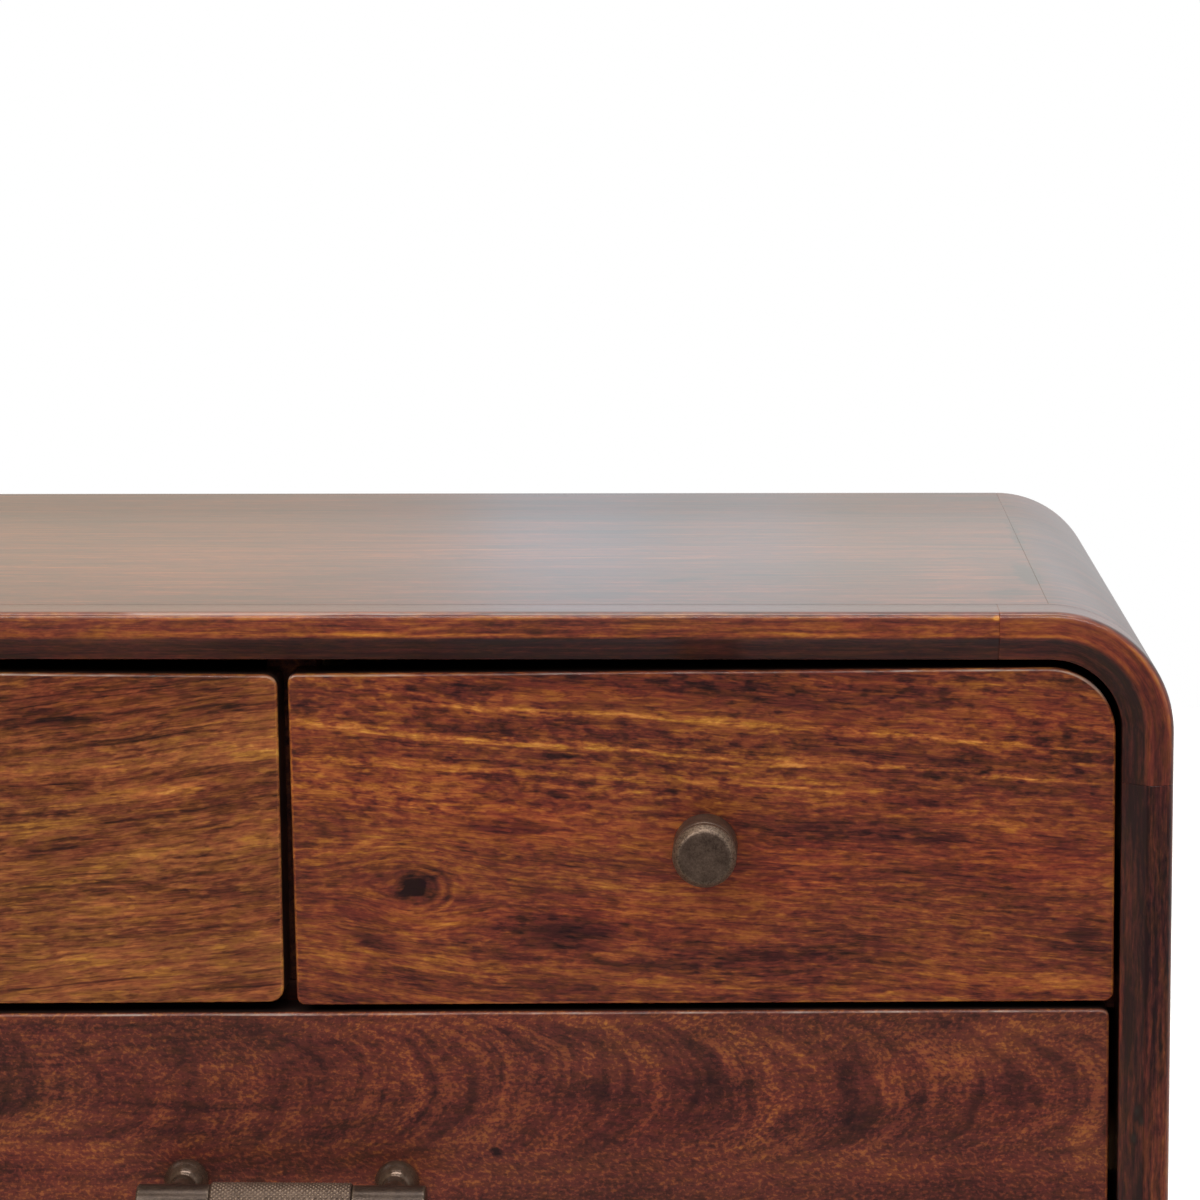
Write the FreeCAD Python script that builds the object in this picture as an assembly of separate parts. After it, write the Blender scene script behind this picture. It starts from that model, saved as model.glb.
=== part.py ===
import FreeCAD, Part
import math
import os

from FreeCAD import Vector as V

# Three-drawer nightstand in stained solid wood: two small drawers side by side over one
# wide drawer, in a cabinet with rounded corners and a bevelled front frame, on four
# splayed turned legs. Millimetres, +X right, +Y to the back, +Z up.
# Origin: on the floor, under the middle of the overall box (drawer pull included).

# ---------------------------------------------------------------- overall sizes
WIDTH = 555.0            # cabinet width over the sides
DEPTH = 350.0            # cabinet depth, front frame included
HEIGHT = 560.0           # floor to top surface
CAB_H = 254.0            # cabinet height without the legs
PULL_OUT = 25.0          # how far the drawer pull stands in front of the frame

Y_FRONT = -(DEPTH + PULL_OUT) / 2 + PULL_OUT   # front plane of the frame
Y_BACK = Y_FRONT + DEPTH
Z_TOP = HEIGHT
Z_BOT = HEIGHT - CAB_H

# ---------------------------------------------------------------- shell and front frame
T = 15.7                 # thickness of the shell boards
R_OUT = 38.0             # outside corner radius
R_IN = R_OUT - T
HW = WIDTH / 2
FLAT = HW - R_OUT        # half length of the flat boards of top and bottom
FRAME_D = 20.0           # depth of the front frame
RIDGE_U = 8.0            # outer edge to ridge
BEVEL_V = 7.0            # how deep the inner bevel falls back
CORNER_EXT = 16.2        # straight stretch at each end of a frame corner
Y_SHELL = Y_FRONT + FRAME_D

# ---------------------------------------------------------------- back panel
RABBET = 7.0             # width and depth of the rabbet at the back
BACK_T = 5.5
Y_BACKPANEL = Y_BACK - RABBET

# ---------------------------------------------------------------- inner boards
SHELF_T = 12.0
SHELF_Z = 428.9
DADO = 5.0
DIVIDER_T = 16.0
TONGUE = 4.0
Y_INNER = Y_FRONT + 28.0     # front edge of shelf and divider

# ---------------------------------------------------------------- drawers
FRONT_T = 18.0
FRONT_RECESS = 8.0
Y_DF = Y_FRONT + FRONT_RECESS      # face of the drawer fronts
Y_DB = Y_DF + FRONT_T              # back of the drawer fronts
SIDE_T = 13.0
BOXBACK_T = 12.0
BASE_T = 5.0
BASE_IN = 5.0                      # how far the drawer base enters its grooves
SIDE_IN = 6.0                      # how far the drawer sides enter the front
Y_BOXEND = 164.0                   # rear end of the drawer sides
EDGE_R = 1.4                       # easing of the drawer-front edges
FRONT_ARC = 21.0                   # big corner radius of a drawer front

UP_Z0, UP_Z1 = Z_TOP - 126.8, Z_TOP - 18.1      # upper fronts
LO_Z0, LO_Z1 = Z_TOP - 235.0, Z_TOP - 126.6     # lower front
UP_X1 = 260.0
UP_BOX = (11.0, 258.6)             # inner and outer faces of an upper drawer box
UP_BOX_Z = (441.5, 526.5)
LO_BOX_X = 256.6
LO_BOX_Z = (336.0, 420.0)
BACK_DROP = 6.5                    # drawer back is lower than the sides
BASE_UP = 6.0                      # drawer base above the lower edge of the sides

# ---------------------------------------------------------------- runners
RUN_H = 12.0
UP_RUN_Z = 478.0
LO_RUN_Z = 372.0
UP_RUN_T = 9.0
LO_RUN_T = 11.5
GROOVE_UP = 6.5
GROOVE_LO = 7.0
STOP_BACK = 15.0                   # groove stops this far behind the drawer front
RUN_GAP = 0.5
Y_RUN_END = 172.0

# ---------------------------------------------------------------- metal fittings
KNOB_X = 132.2
KNOB_Z = Z_TOP - 74.5
KNOB_R = 10.0
KNOB_OUT = 21.0
PULL_Z = Z_TOP - 184.0
PULL_CC = 67.4
GRIP_L = 44.2
GRIP_R = 6.8
SLEEVE_L = 23.2
SLEEVE_R = 6.0
SPIGOT_R = 4.4
SPIGOT_L = 17.0
POST_BASE_R = 7.2
Y_BAR = Y_FRONT - PULL_OUT + GRIP_R
M4_R = 2.0

# ---------------------------------------------------------------- legs
LEG_TOP_R = 21.0
LEG_FOOT_R = 12.0
LEG_TOP = (207.0, 106.0)           # leg centre under the cabinet, from the middle of the cabinet
LEG_FOOT = (243.0, 140.0)          # leg centre on the floor
Y_MID = (Y_FRONT + Y_BACK) / 2
BLOCK = 76.0                       # side of the square leg block
BLOCK_MID = 20.0                   # block thickness on the leg's axis
GLIDE_T = 3.0
GLIDE_R = 10.5
BOLT_R = 4.0

os.makedirs("parts", exist_ok=True)
made = {}


# ---------------------------------------------------------------- helpers
def box(x0, x1, y0, y1, z0, z1):
    return Part.makeBox(x1 - x0, y1 - y0, z1 - z0, V(x0, y0, z0))


def cyl(p, d, r, h):
    return Part.makeCylinder(r, h, V(*p), V(*d))


def poly_face(points):
    pts = [V(*p) for p in points]
    return Part.Face(Part.makePolygon(pts + [pts[0]]))


def mirror_x(s):
    return s.mirror(V(0, 0, 0), V(1, 0, 0))


def mirror_z(s):
    return s.mirror(V(0, 0, (Z_TOP + Z_BOT) / 2), V(0, 0, 1))


def mirror_y(s):
    return s.mirror(V(0, Y_MID, 0), V(0, 1, 0))


def group(shapes):
    return Part.makeCompound(list(shapes))


def save(name, shape):
    solids = shape.Solids
    out = solids[0] if len(solids) == 1 else Part.makeCompound(solids)
    ok = out.isValid() and all(s.Volume > 0 for s in solids)
    if not ok:
        print("CHECK", name, out.isValid(), [round(s.Volume, 1) for s in solids])
    made[name] = out
    out.exportStep("parts/%s.step" % name)


def rounded_outline(points, y):
    """Closed wire in the XZ plane at y, from (x, z, corner radius) points."""
    n = len(points)
    ends = []
    for i in range(n):
        x, z, r = points[i]
        a = V(points[i - 1][0] - x, 0, points[i - 1][1] - z).normalize()
        b = V(points[(i + 1) % n][0] - x, 0, points[(i + 1) % n][1] - z).normalize()
        half = a.getAngle(b) / 2
        t = r / math.tan(half)
        c = V(x, y, z)
        bis = (a + b).normalize()
        centre = c + bis * (r / math.sin(half))
        ends.append((c + a * t, centre - bis * r, c + b * t))
    edges = []
    for i in range(n):
        p, m, q = ends[i]
        edges.append(Part.Arc(p, m, q).toShape())
        nxt = ends[(i + 1) % n][0]
        if (nxt - q).Length > 1e-6:
            edges.append(Part.LineSegment(q, nxt).toShape())
    return Part.Wire(edges)


def rounded_prism(hw, z0, z1, r, y0, y1):
    w = rounded_outline([(-hw, z0, r), (hw, z0, r), (hw, z1, r), (-hw, z1, r)], y0)
    return Part.Face(w).extrude(V(0, y1 - y0, 0))


# ---------------------------------------------------------------- shell boards
rabbet_cut = rounded_prism(HW - T + RABBET, Z_BOT + T - RABBET, Z_TOP - T + RABBET,
                           R_IN + RABBET, Y_BACKPANEL, Y_BACK + 1)

top_panel = box(-FLAT, FLAT, Y_SHELL, Y_BACK, Z_TOP - T, Z_TOP).cut(rabbet_cut)
bottom_panel = mirror_z(top_panel)
right_side = box(HW - T, HW, Y_SHELL, Y_BACK, Z_BOT + R_OUT, Z_TOP - R_OUT).cut(rabbet_cut)


def corner_ring(y0, y1):
    c = V(FLAT, y0, Z_TOP - R_OUT)
    outer = Part.makeCylinder(R_OUT, y1 - y0, c, V(0, 1, 0))
    inner = Part.makeCylinder(R_IN, y1 - y0, c, V(0, 1, 0))
    quad = box(FLAT, HW + 1, y0, y1, Z_TOP - R_OUT, Z_TOP + 1)
    return outer.cut(inner).common(quad)


top_right_block = corner_ring(Y_SHELL, Y_BACK).cut(rabbet_cut)
bottom_right_block = mirror_z(top_right_block)

# dowels that tie the flat boards to the corner blocks
DOWEL_R, DOWEL_L = 3.5, 24.0
dowels = []
dowel_holes = []
mid_u = T / 2 + 1.0
for y in (-108.0, -18.0, 72.0, 164.0):
    for sx in (-1, 1):
        for z in (Z_TOP - mid_u, Z_BOT + mid_u):
            dowels.append(cyl((sx * FLAT - DOWEL_L / 2, y, z), (1, 0, 0), DOWEL_R, DOWEL_L))
            dowel_holes.append(cyl((sx * FLAT - DOWEL_L / 2 - 0.5, y, z), (1, 0, 0), DOWEL_R + 0.1, DOWEL_L + 1.0))
        for z in (Z_TOP - R_OUT, Z_BOT + R_OUT):
            dowels.append(cyl((sx * (HW - mid_u), y, z - DOWEL_L / 2), (0, 0, 1), DOWEL_R, DOWEL_L))
            dowel_holes.append(cyl((sx * (HW - mid_u), y, z - DOWEL_L / 2 - 0.5), (0, 0, 1), DOWEL_R + 0.1, DOWEL_L + 1.0))
all_dowel_holes = group(dowel_holes)

# ---------------------------------------------------------------- inner boards
shelf = box(-(HW - T + DADO), HW - T + DADO, Y_INNER, Y_BACKPANEL, SHELF_Z, SHELF_Z + SHELF_T)
divider = box(-DIVIDER_T / 2, DIVIDER_T / 2, Y_INNER, Y_BACKPANEL,
              SHELF_Z + SHELF_T - TONGUE, Z_TOP - T + TONGUE)
right_side = right_side.cut(shelf)
left_side = mirror_x(box(HW - T, HW, Y_SHELL, Y_BACK, Z_BOT + R_OUT, Z_TOP - R_OUT).cut(rabbet_cut)).cut(shelf)
shelf = shelf.cut(divider)
top_panel = top_panel.cut(divider)

# ---------------------------------------------------------------- runners and their screws
RUN_Y0 = Y_DB + STOP_BACK + RUN_GAP
runners = {
    "runner_right_outer": box(HW - T - UP_RUN_T, HW - T, RUN_Y0, Y_RUN_END, UP_RUN_Z, UP_RUN_Z + RUN_H),
    "runner_right_inner": box(DIVIDER_T / 2, DIVIDER_T / 2 + UP_RUN_T, RUN_Y0, Y_RUN_END, UP_RUN_Z, UP_RUN_Z + RUN_H),
    "runner_lower_right": box(HW - T - LO_RUN_T, HW - T, RUN_Y0, Y_RUN_END, LO_RUN_Z, LO_RUN_Z + RUN_H),
}
runners["runner_left_outer"] = mirror_x(runners["runner_right_outer"])
runners["runner_left_inner"] = mirror_x(runners["runner_right_inner"])
runners["runner_lower_left"] = mirror_x(runners["runner_lower_right"])


def wood_screw(p, d, length, shank_r, head_r, head_t):
    """Flat-headed screw: head sunk at p, shank along d."""
    d = V(*d)
    head = Part.makeCylinder(head_r, head_t, V(*p), d)
    return head.fuse(Part.makeCylinder(shank_r, length, V(*p), d)).removeSplitter()


def wood_screw_hole(p, d, length, shank_r, head_r, head_t):
    d = V(*d)
    p = V(*p)
    head = Part.makeCylinder(head_r + 0.15, head_t + 2.0, p - d * 2.0, d)
    return head.fuse(Part.makeCylinder(shank_r + 0.1, length + 0.5, p, d))


run_screws, run_holes = [], []
for y in (RUN_Y0 + 30.0, (RUN_Y0 + Y_RUN_END) / 2, Y_RUN_END - 30.0):
    for sx in (-1, 1):
        a = (sx * (HW - T - UP_RUN_T + 0.6), y, UP_RUN_Z + RUN_H / 2)
        run_screws.append(wood_screw(a, (sx, 0, 0), 20.0, 1.75, 3.4, 2.2))
        run_holes.append(wood_screw_hole(a, (sx, 0, 0), 20.0, 1.75, 3.4, 2.2))
        a = (sx * (HW - T - LO_RUN_T + 0.6), y, LO_RUN_Z + RUN_H / 2)
        run_screws.append(wood_screw(a, (sx, 0, 0), 22.0, 1.75, 3.4, 2.2))
        run_holes.append(wood_screw_hole(a, (sx, 0, 0), 22.0, 1.75, 3.4, 2.2))
        a = (sx * (DIVIDER_T / 2 + UP_RUN_T - 0.6), y + sx * 8.0, UP_RUN_Z + RUN_H / 2)
        run_screws.append(wood_screw(a, (-sx, 0, 0), 18.0, 1.75, 3.4, 2.2))
        run_holes.append(wood_screw_hole(a, (-sx, 0, 0), 18.0, 1.75, 3.4, 2.2))
all_run_holes = group(run_holes)

# ---------------------------------------------------------------- back panel and its screws
back_panel = rounded_prism(HW - T + RABBET - 0.2, Z_BOT + T - RABBET + 0.2, Z_TOP - T + RABBET - 0.2,
                           R_IN + RABBET - 0.2, Y_BACKPANEL, Y_BACKPANEL + BACK_T)
back_screws, back_holes = [], []
bx = HW - T + RABBET / 2
bz0, bz1 = Z_BOT + T - RABBET / 2, Z_TOP - T + RABBET / 2
spots = [(x, z) for x in (-210.0, -70.0, 70.0, 210.0) for z in (bz0, bz1)]
spots += [(x, z) for x in (-bx, bx) for z in (370.0, 496.0)]
for x, z in spots:
    y_head = Y_BACKPANEL + BACK_T
    head = Part.makeCylinder(3.0, 1.2, V(x, y_head, z), V(0, 1, 0))
    shank = Part.makeCylinder(1.5, BACK_T + 13.0, V(x, y_head, z), V(0, -1, 0))
    back_screws.append(head.fuse(shank).removeSplitter())
    back_holes.append(Part.makeCylinder(1.6, BACK_T + 13.5, V(x, y_head, z), V(0, -1, 0)))
all_back_holes = group(back_holes)

# ---------------------------------------------------------------- legs, blocks, bolts, glides
leg_shapes, block_shapes, bolts, glides = {}, [], [], []
block_screws, block_holes = [], []
for name, sx, sy in (("front_left", -1, -1), ("front_right", 1, -1), ("back_left", -1, 1), ("back_right", 1, 1)):
    top = V(sx * LEG_TOP[0], Y_MID + sy * LEG_TOP[1], Z_BOT - BLOCK_MID)
    foot = V(sx * LEG_FOOT[0], Y_MID + sy * LEG_FOOT[1], 0)
    axis = (top - foot).normalize()
    length = (top - foot).Length
    # square block under the bottom board, its lower face square to the leg
    b = box(top.x - BLOCK / 2, top.x + BLOCK / 2, top.y - BLOCK / 2, top.y + BLOCK / 2, Z_BOT - 45.0, Z_BOT)
    below = Part.makeCylinder(150.0, 120.0, top, axis * -1)
    b = b.cut(below)
    bolt_hole_b = Part.makeCylinder(BOLT_R + 0.1, 17.0, top - axis * 0.5, axis)
    b = b.cut(bolt_hole_b)
    for ex in (-1, 1):
        for ey in (-1, 1):
            px, py = top.x + ex * 28.0, top.y + ey * 28.0
            z_seat = Z_BOT - 10.0
            screw = Part.makeCylinder(4.0, 2.5, V(px, py, z_seat - 2.5), V(0, 0, 1)).fuse(
                Part.makeCylinder(2.0, 24.5, V(px, py, z_seat - 2.5), V(0, 0, 1))).removeSplitter()
            block_screws.append(screw)
            hole = Part.makeCylinder(4.2, 40.0, V(px, py, z_seat - 40.0), V(0, 0, 1)).fuse(
                Part.makeCylinder(2.1, 22.5, V(px, py, z_seat), V(0, 0, 1)))
            block_holes.append(hole)
            b = b.cut(hole)
    block_shapes.append(b)
    # turned leg: eased shoulder under the block, long straight taper, cut level at the floor
    run = length + 20.0
    end_r = LEG_TOP_R - (LEG_TOP_R - LEG_FOOT_R) * run / length
    rim = [V(0, 0, 0), V(LEG_TOP_R - 3.0, 0, 0), V(LEG_TOP_R - 0.9, 0, -0.9), V(LEG_TOP_R, 0, -3.0),
           V(end_r, 0, -run), V(0, 0, -run)]
    edges = [Part.LineSegment(rim[0], rim[1]).toShape(),
             Part.Arc(rim[1], rim[2], rim[3]).toShape(),
             Part.LineSegment(rim[3], rim[4]).toShape(),
             Part.LineSegment(rim[4], rim[5]).toShape(),
             Part.LineSegment(rim[5], rim[0]).toShape()]
    leg = Part.Face(Part.Wire(edges)).revolve(V(0, 0, 0), V(0, 0, 1), 360)
    leg = Part.Solid(leg.Shells[0]) if not leg.Solids else leg.Solids[0]
    leg.Placement = FreeCAD.Placement(top, FreeCAD.Rotation(V(0, 0, 1), axis))
    leg = leg.cut(box(foot.x - 80, foot.x + 80, foot.y - 80, foot.y + 80, -60, GLIDE_T))
    leg = leg.cut(Part.makeCylinder(BOLT_R + 0.1, 38.0, top + axis * 1.0, axis * -1))
    leg_shapes["leg_" + name] = leg
    bolts.append(Part.makeCylinder(BOLT_R, 52.0, top - axis * 36.0, axis))
    at = foot + axis * (GLIDE_T / axis.z)
    g = Part.makeCylinder(GLIDE_R, GLIDE_T, V(at.x, at.y, 0), V(0, 0, 1))
    g = g.makeFillet(0.8, [e for e in g.Edges if e.Closed and abs(e.CenterOfMass.z) < 1e-6 and isinstance(e.Curve, Part.Circle)])
    glides.append(g)
all_block_holes = group(block_holes)

# ---------------------------------------------------------------- front frame
S = [(0.0, FRAME_D), (0.0, 3.0), (3.0, 0.7), (RIDGE_U, 0.0), (T, BEVEL_V), (T, FRAME_D)]


def frame_section(place):
    """Closed section wire of the frame; place maps (u, v) to a point."""
    p = [place(u, v) for u, v in S]
    mid = place(0.85, 1.35)
    edges = [Part.LineSegment(p[0], p[1]).toShape(),
             Part.Arc(p[1], mid, p[2]).toShape(),
             Part.LineSegment(p[2], p[3]).toShape(),
             Part.LineSegment(p[3], p[4]).toShape(),
             Part.LineSegment(p[4], p[5]).toShape(),
             Part.LineSegment(p[5], p[0]).toShape()]
    return Part.Face(Part.Wire(edges))


rail_half = FLAT - CORNER_EXT
top_rail = frame_section(lambda u, v: V(-rail_half, Y_FRONT + v, Z_TOP - u)).extrude(V(2 * rail_half, 0, 0))
stile_z0, stile_z1 = Z_BOT + R_OUT + CORNER_EXT, Z_TOP - R_OUT - CORNER_EXT
right_stile = frame_section(lambda u, v: V(HW - u, Y_FRONT + v, stile_z0)).extrude(V(0, 0, stile_z1 - stile_z0))
arc = frame_section(lambda u, v: V(HW - u, Y_FRONT + v, Z_TOP - R_OUT)).revolve(
    V(FLAT, 0, Z_TOP - R_OUT), V(0, -1, 0), 90)
ext_a = frame_section(lambda u, v: V(HW - u, Y_FRONT + v, stile_z1)).extrude(V(0, 0, CORNER_EXT))
ext_b = frame_section(lambda u, v: V(rail_half, Y_FRONT + v, Z_TOP - u)).extrude(V(CORNER_EXT, 0, 0))
frame_corner = arc.fuse([ext_a, ext_b]).removeSplitter()

# ---------------------------------------------------------------- drawer fronts
# hand-fitted boards: their edges are a little out of square
right_outline = [(1.0, UP_Z1 - 2.3, 2.6), (2.4, UP_Z0, 2.6), (260.2, UP_Z0 + 2.5, 3.0), (UP_X1, UP_Z1, FRONT_ARC)]
left_outline = [(-2.1, UP_Z1 - 2.5, 3.8), (-UP_X1, UP_Z1 - 0.8, FRONT_ARC), (-260.1, UP_Z0 - 1.8, 3.0), (-1.5, UP_Z0 + 1.0, 4.4)]
lower_outline = [(-259.0, LO_Z1 - 4.8, 2.6), (-259.0, LO_Z0, FRONT_ARC), (259.0, LO_Z0, FRONT_ARC), (258.9, LO_Z1, 2.6)]


def front_board(outline):
    f = Part.Face(rounded_outline(outline, Y_DF)).extrude(V(0, FRONT_T, 0))
    rim = [e for e in f.Edges if abs(e.BoundBox.YMin - Y_DF) < 1e-6 and abs(e.BoundBox.YMax - Y_DF) < 1e-6]
    return f.makeFillet(EDGE_R, rim)


right_front = front_board(right_outline)
left_front = front_board(left_outline)
lower_front = front_board(lower_outline)


def drawer_box(x0, x1, z0, z1, groove):
    """Sides, back and base of one drawer, with the cuts that the front needs."""
    y_side = Y_DB - SIDE_IN
    side_a = box(x0, x0 + SIDE_T, y_side, Y_BOXEND, z0, z1)
    side_b = box(x1 - SIDE_T, x1, y_side, Y_BOXEND, z0, z1)
    y_back = Y_BOXEND - 2.0 - BOXBACK_T
    back = box(x0 + SIDE_T, x1 - SIDE_T, y_back, y_back + BOXBACK_T, z0, z1 - BACK_DROP)
    zb = z0 + BASE_UP
    base = box(x0 + SIDE_T - BASE_IN, x1 - SIDE_T + BASE_IN, Y_DB - BASE_IN, y_back + BASE_IN, zb, zb + BASE_T)
    front_cut = group([side_a, side_b, base])
    gz0, gz1 = groove[0], groove[1]
    g_depth = groove[2]
    gy0 = Y_DB + STOP_BACK
    ga = box(x0 - 1, x0 + g_depth, gy0, Y_BOXEND + 1, gz0, gz1)
    gb = box(x1 - g_depth, x1 + 1, gy0, Y_BOXEND + 1, gz0, gz1)
    side_a = side_a.cut(ga).cut(base)
    side_b = side_b.cut(gb).cut(base)
    back = back.cut(base)
    return side_a, side_b, back, base, front_cut


up_groove = (UP_RUN_Z - 0.7, UP_RUN_Z + RUN_H + 0.35, GROOVE_UP)
lo_groove = (LO_RUN_Z - 0.7, LO_RUN_Z + RUN_H + 0.35, GROOVE_LO)
r_in, r_out, r_back, r_base, r_cut = drawer_box(UP_BOX[0], UP_BOX[1], UP_BOX_Z[0], UP_BOX_Z[1], up_groove)
l_out, l_in, l_back, l_base, l_cut = drawer_box(-UP_BOX[1], -UP_BOX[0], UP_BOX_Z[0], UP_BOX_Z[1], up_groove)
w_left, w_right, w_back, w_base, w_cut = drawer_box(-LO_BOX_X, LO_BOX_X, LO_BOX_Z[0], LO_BOX_Z[1], lo_groove)

for s in r_cut.Solids:
    right_front = right_front.cut(s)
for s in l_cut.Solids:
    left_front = left_front.cut(s)
for s in w_cut.Solids:
    lower_front = lower_front.cut(s)

# ---------------------------------------------------------------- knobs
BITE = 10.0              # how far a fixing screw enters the knob or pull


def knob(x, z):
    pts = [(0, 0), (KNOB_R - 0.4, 0), (KNOB_R, 0.4), (KNOB_R, 14.6), (KNOB_R - 0.7, 15.0), (KNOB_R - 0.7, 15.6),
           (KNOB_R, 16.0), (KNOB_R, 18.4), (8.35, 20.55), (7.9, 20.8), (5.0, KNOB_OUT), (0, KNOB_OUT)]
    f = poly_face([(a, -h, 0) for a, h in pts])
    k = f.revolve(V(0, 0, 0), V(0, 1, 0), 360)
    k = k.Solids[0] if k.Solids else Part.Solid(k.Shells[0])
    k = k.cut(Part.makeCylinder(M4_R + 0.1, BITE + 1.0, V(0, 0, 0), V(0, -1, 0)))
    k.translate(V(x, Y_DF, z))
    return k


def machine_screw(x, z):
    head = Part.makeCylinder(4.0, 2.4, V(x, Y_DB, z), V(0, 1, 0))
    shank = Part.makeCylinder(M4_R, FRONT_T + BITE, V(x, Y_DB, z), V(0, -1, 0))
    s = head.fuse(shank).removeSplitter()
    slot = box(x - 0.6, x + 0.6, Y_DB + 1.4, Y_DB + 3.0, z - 5, z + 5)
    return s.cut(slot)


def screw_way(x, z):
    return Part.makeCylinder(M4_R + 0.4, FRONT_T + 2.0, V(x, Y_DB + 1.0, z), V(0, -1, 0))


right_knob, left_knob = knob(KNOB_X, KNOB_Z), knob(-KNOB_X, KNOB_Z)
right_front = right_front.cut(screw_way(KNOB_X, KNOB_Z))
left_front = left_front.cut(screw_way(-KNOB_X, KNOB_Z))

# ---------------------------------------------------------------- bar pull
reach = Y_DF - Y_BAR     # face of the drawer to the bar's axis


def bracket(x, inward):
    """Domed foot, neck and sleeve in one casting. inward: direction of the grip along X."""
    c = [(0, 0), (POST_BASE_R, 0), (POST_BASE_R, 1.6)]
    dome = [V(POST_BASE_R, -1.6, 0), V(6.7, -5.0, 0), V(5.0, -8.6, 0), V(4.2, -12.5, 0)]
    curve = Part.BSplineCurve()
    curve.interpolate(dome)
    p = [V(a, -h, 0) for a, h in c]
    e = V(4.2, -(reach - 3.0), 0)
    o = V(0, -(reach - 3.0), 0)
    edges = [Part.LineSegment(p[0], p[1]).toShape(), Part.LineSegment(p[1], p[2]).toShape(), curve.toShape(),
             Part.LineSegment(dome[-1], e).toShape(), Part.LineSegment(e, o).toShape(), Part.LineSegment(o, p[0]).toShape()]
    post = Part.Face(Part.Wire(edges)).revolve(V(0, 0, 0), V(0, 1, 0), 360)
    post = post.Solids[0] if post.Solids else Part.Solid(post.Shells[0])
    post.translate(V(x, Y_DF, PULL_Z))
    sl = Part.makeCylinder(SLEEVE_R, SLEEVE_L, V(x - SLEEVE_L / 2, Y_BAR, PULL_Z), V(1, 0, 0))
    sl = sl.makeFillet(0.7, [ed for ed in sl.Edges if isinstance(ed.Curve, Part.Circle)])
    b = post.fuse(sl).removeSplitter()
    x_in = x + inward * SLEEVE_L / 2
    bore = Part.makeCylinder(SPIGOT_R + 0.1, SPIGOT_L + 1.5, V(x_in + inward * 0.5, Y_BAR, PULL_Z), V(-inward, 0, 0))
    b = b.cut(bore)
    return b.cut(Part.makeCylinder(M4_R + 0.1, BITE + 1.0, V(x, Y_DF, PULL_Z), V(0, -1, 0)))


left_bracket, right_bracket = bracket(-PULL_CC / 2, 1), bracket(PULL_CC / 2, -1)
grip = Part.makeCylinder(GRIP_R, GRIP_L, V(-GRIP_L / 2, Y_BAR, PULL_Z), V(1, 0, 0))
grip = grip.makeFillet(0.5, [ed for ed in grip.Edges if isinstance(ed.Curve, Part.Circle)])
grip = grip.fuse(Part.makeCylinder(SPIGOT_R, GRIP_L + 2 * SPIGOT_L - 2.0, V(-GRIP_L / 2 - SPIGOT_L + 1.0, Y_BAR, PULL_Z), V(1, 0, 0))).removeSplitter()
pull_screws = [machine_screw(-PULL_CC / 2, PULL_Z), machine_screw(PULL_CC / 2, PULL_Z)]
for x in (-PULL_CC / 2, PULL_CC / 2):
    lower_front = lower_front.cut(screw_way(x, PULL_Z))

# ---------------------------------------------------------------- holes in the fixed boards
def drilled(shape, holes):
    for h in holes.Solids:
        if h.BoundBox.intersect(shape.BoundBox) and h.common(shape).Volume > 1e-6:
            shape = shape.cut(h)
    return shape


top_panel = drilled(drilled(top_panel, all_dowel_holes), all_back_holes)
bottom_panel = drilled(drilled(drilled(bottom_panel, all_dowel_holes), all_back_holes), all_block_holes)
right_side = drilled(drilled(drilled(right_side, all_dowel_holes), all_back_holes), all_run_holes)
left_side = drilled(drilled(drilled(left_side, all_dowel_holes), all_back_holes), all_run_holes)
divider = drilled(divider, all_run_holes)
back_panel = drilled(back_panel, all_back_holes)
runners = {n: drilled(s, all_run_holes) for n, s in runners.items()}
blocks = {
    "top_right_corner_block": drilled(top_right_block, all_dowel_holes),
    "bottom_right_corner_block": drilled(bottom_right_block, all_dowel_holes),
    "top_left_corner_block": drilled(mirror_x(top_right_block), all_dowel_holes),
    "bottom_left_corner_block": drilled(mirror_x(bottom_right_block), all_dowel_holes),
}

# ---------------------------------------------------------------- write every piece
save("top_panel", top_panel)
save("bottom_panel", bottom_panel)
save("left_side_panel", left_side)
save("right_side_panel", right_side)
for n, s in blocks.items():
    save(n, s)
save("carcass_dowels", group(dowels))
save("frame_top_rail", top_rail)
save("frame_bottom_rail", mirror_z(top_rail))
save("frame_right_stile", right_stile)
save("frame_left_stile", mirror_x(right_stile))
save("frame_top_right_corner", frame_corner)
save("frame_top_left_corner", mirror_x(frame_corner))
save("frame_bottom_right_corner", mirror_z(frame_corner))
save("frame_bottom_left_corner", mirror_x(mirror_z(frame_corner)))
save("back_panel", back_panel)
save("back_panel_screws", group(back_screws))
save("mid_shelf", shelf)
save("centre_divider", divider)
for n, s in runners.items():
    save(n, s)
save("runner_screws", group(run_screws))
for n, s in leg_shapes.items():
    save(n, s)
save("leg_blocks", group(block_shapes))
save("leg_block_screws", group(block_screws))
save("leg_bolts", group(bolts))
save("foot_glides", group(glides))
save("right_drawer_front", right_front)
save("right_drawer_outer_side", r_out)
save("right_drawer_inner_side", r_in)
save("right_drawer_back", r_back)
save("right_drawer_base", r_base)
save("right_knob", right_knob)
save("right_knob_screw", machine_screw(KNOB_X, KNOB_Z))
save("left_drawer_front", left_front)
save("left_drawer_outer_side", l_out)
save("left_drawer_inner_side", l_in)
save("left_drawer_back", l_back)
save("left_drawer_base", l_base)
save("left_knob", left_knob)
save("left_knob_screw", machine_screw(-KNOB_X, KNOB_Z))
save("lower_drawer_front", lower_front)
save("lower_drawer_left_side", w_left)
save("lower_drawer_right_side", w_right)
save("lower_drawer_back", w_back)
save("lower_drawer_base", w_base)
save("pull_left_bracket", left_bracket)
save("pull_right_bracket", right_bracket)
save("pull_grip_bar", grip)
save("pull_screws", group(pull_screws))

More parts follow.
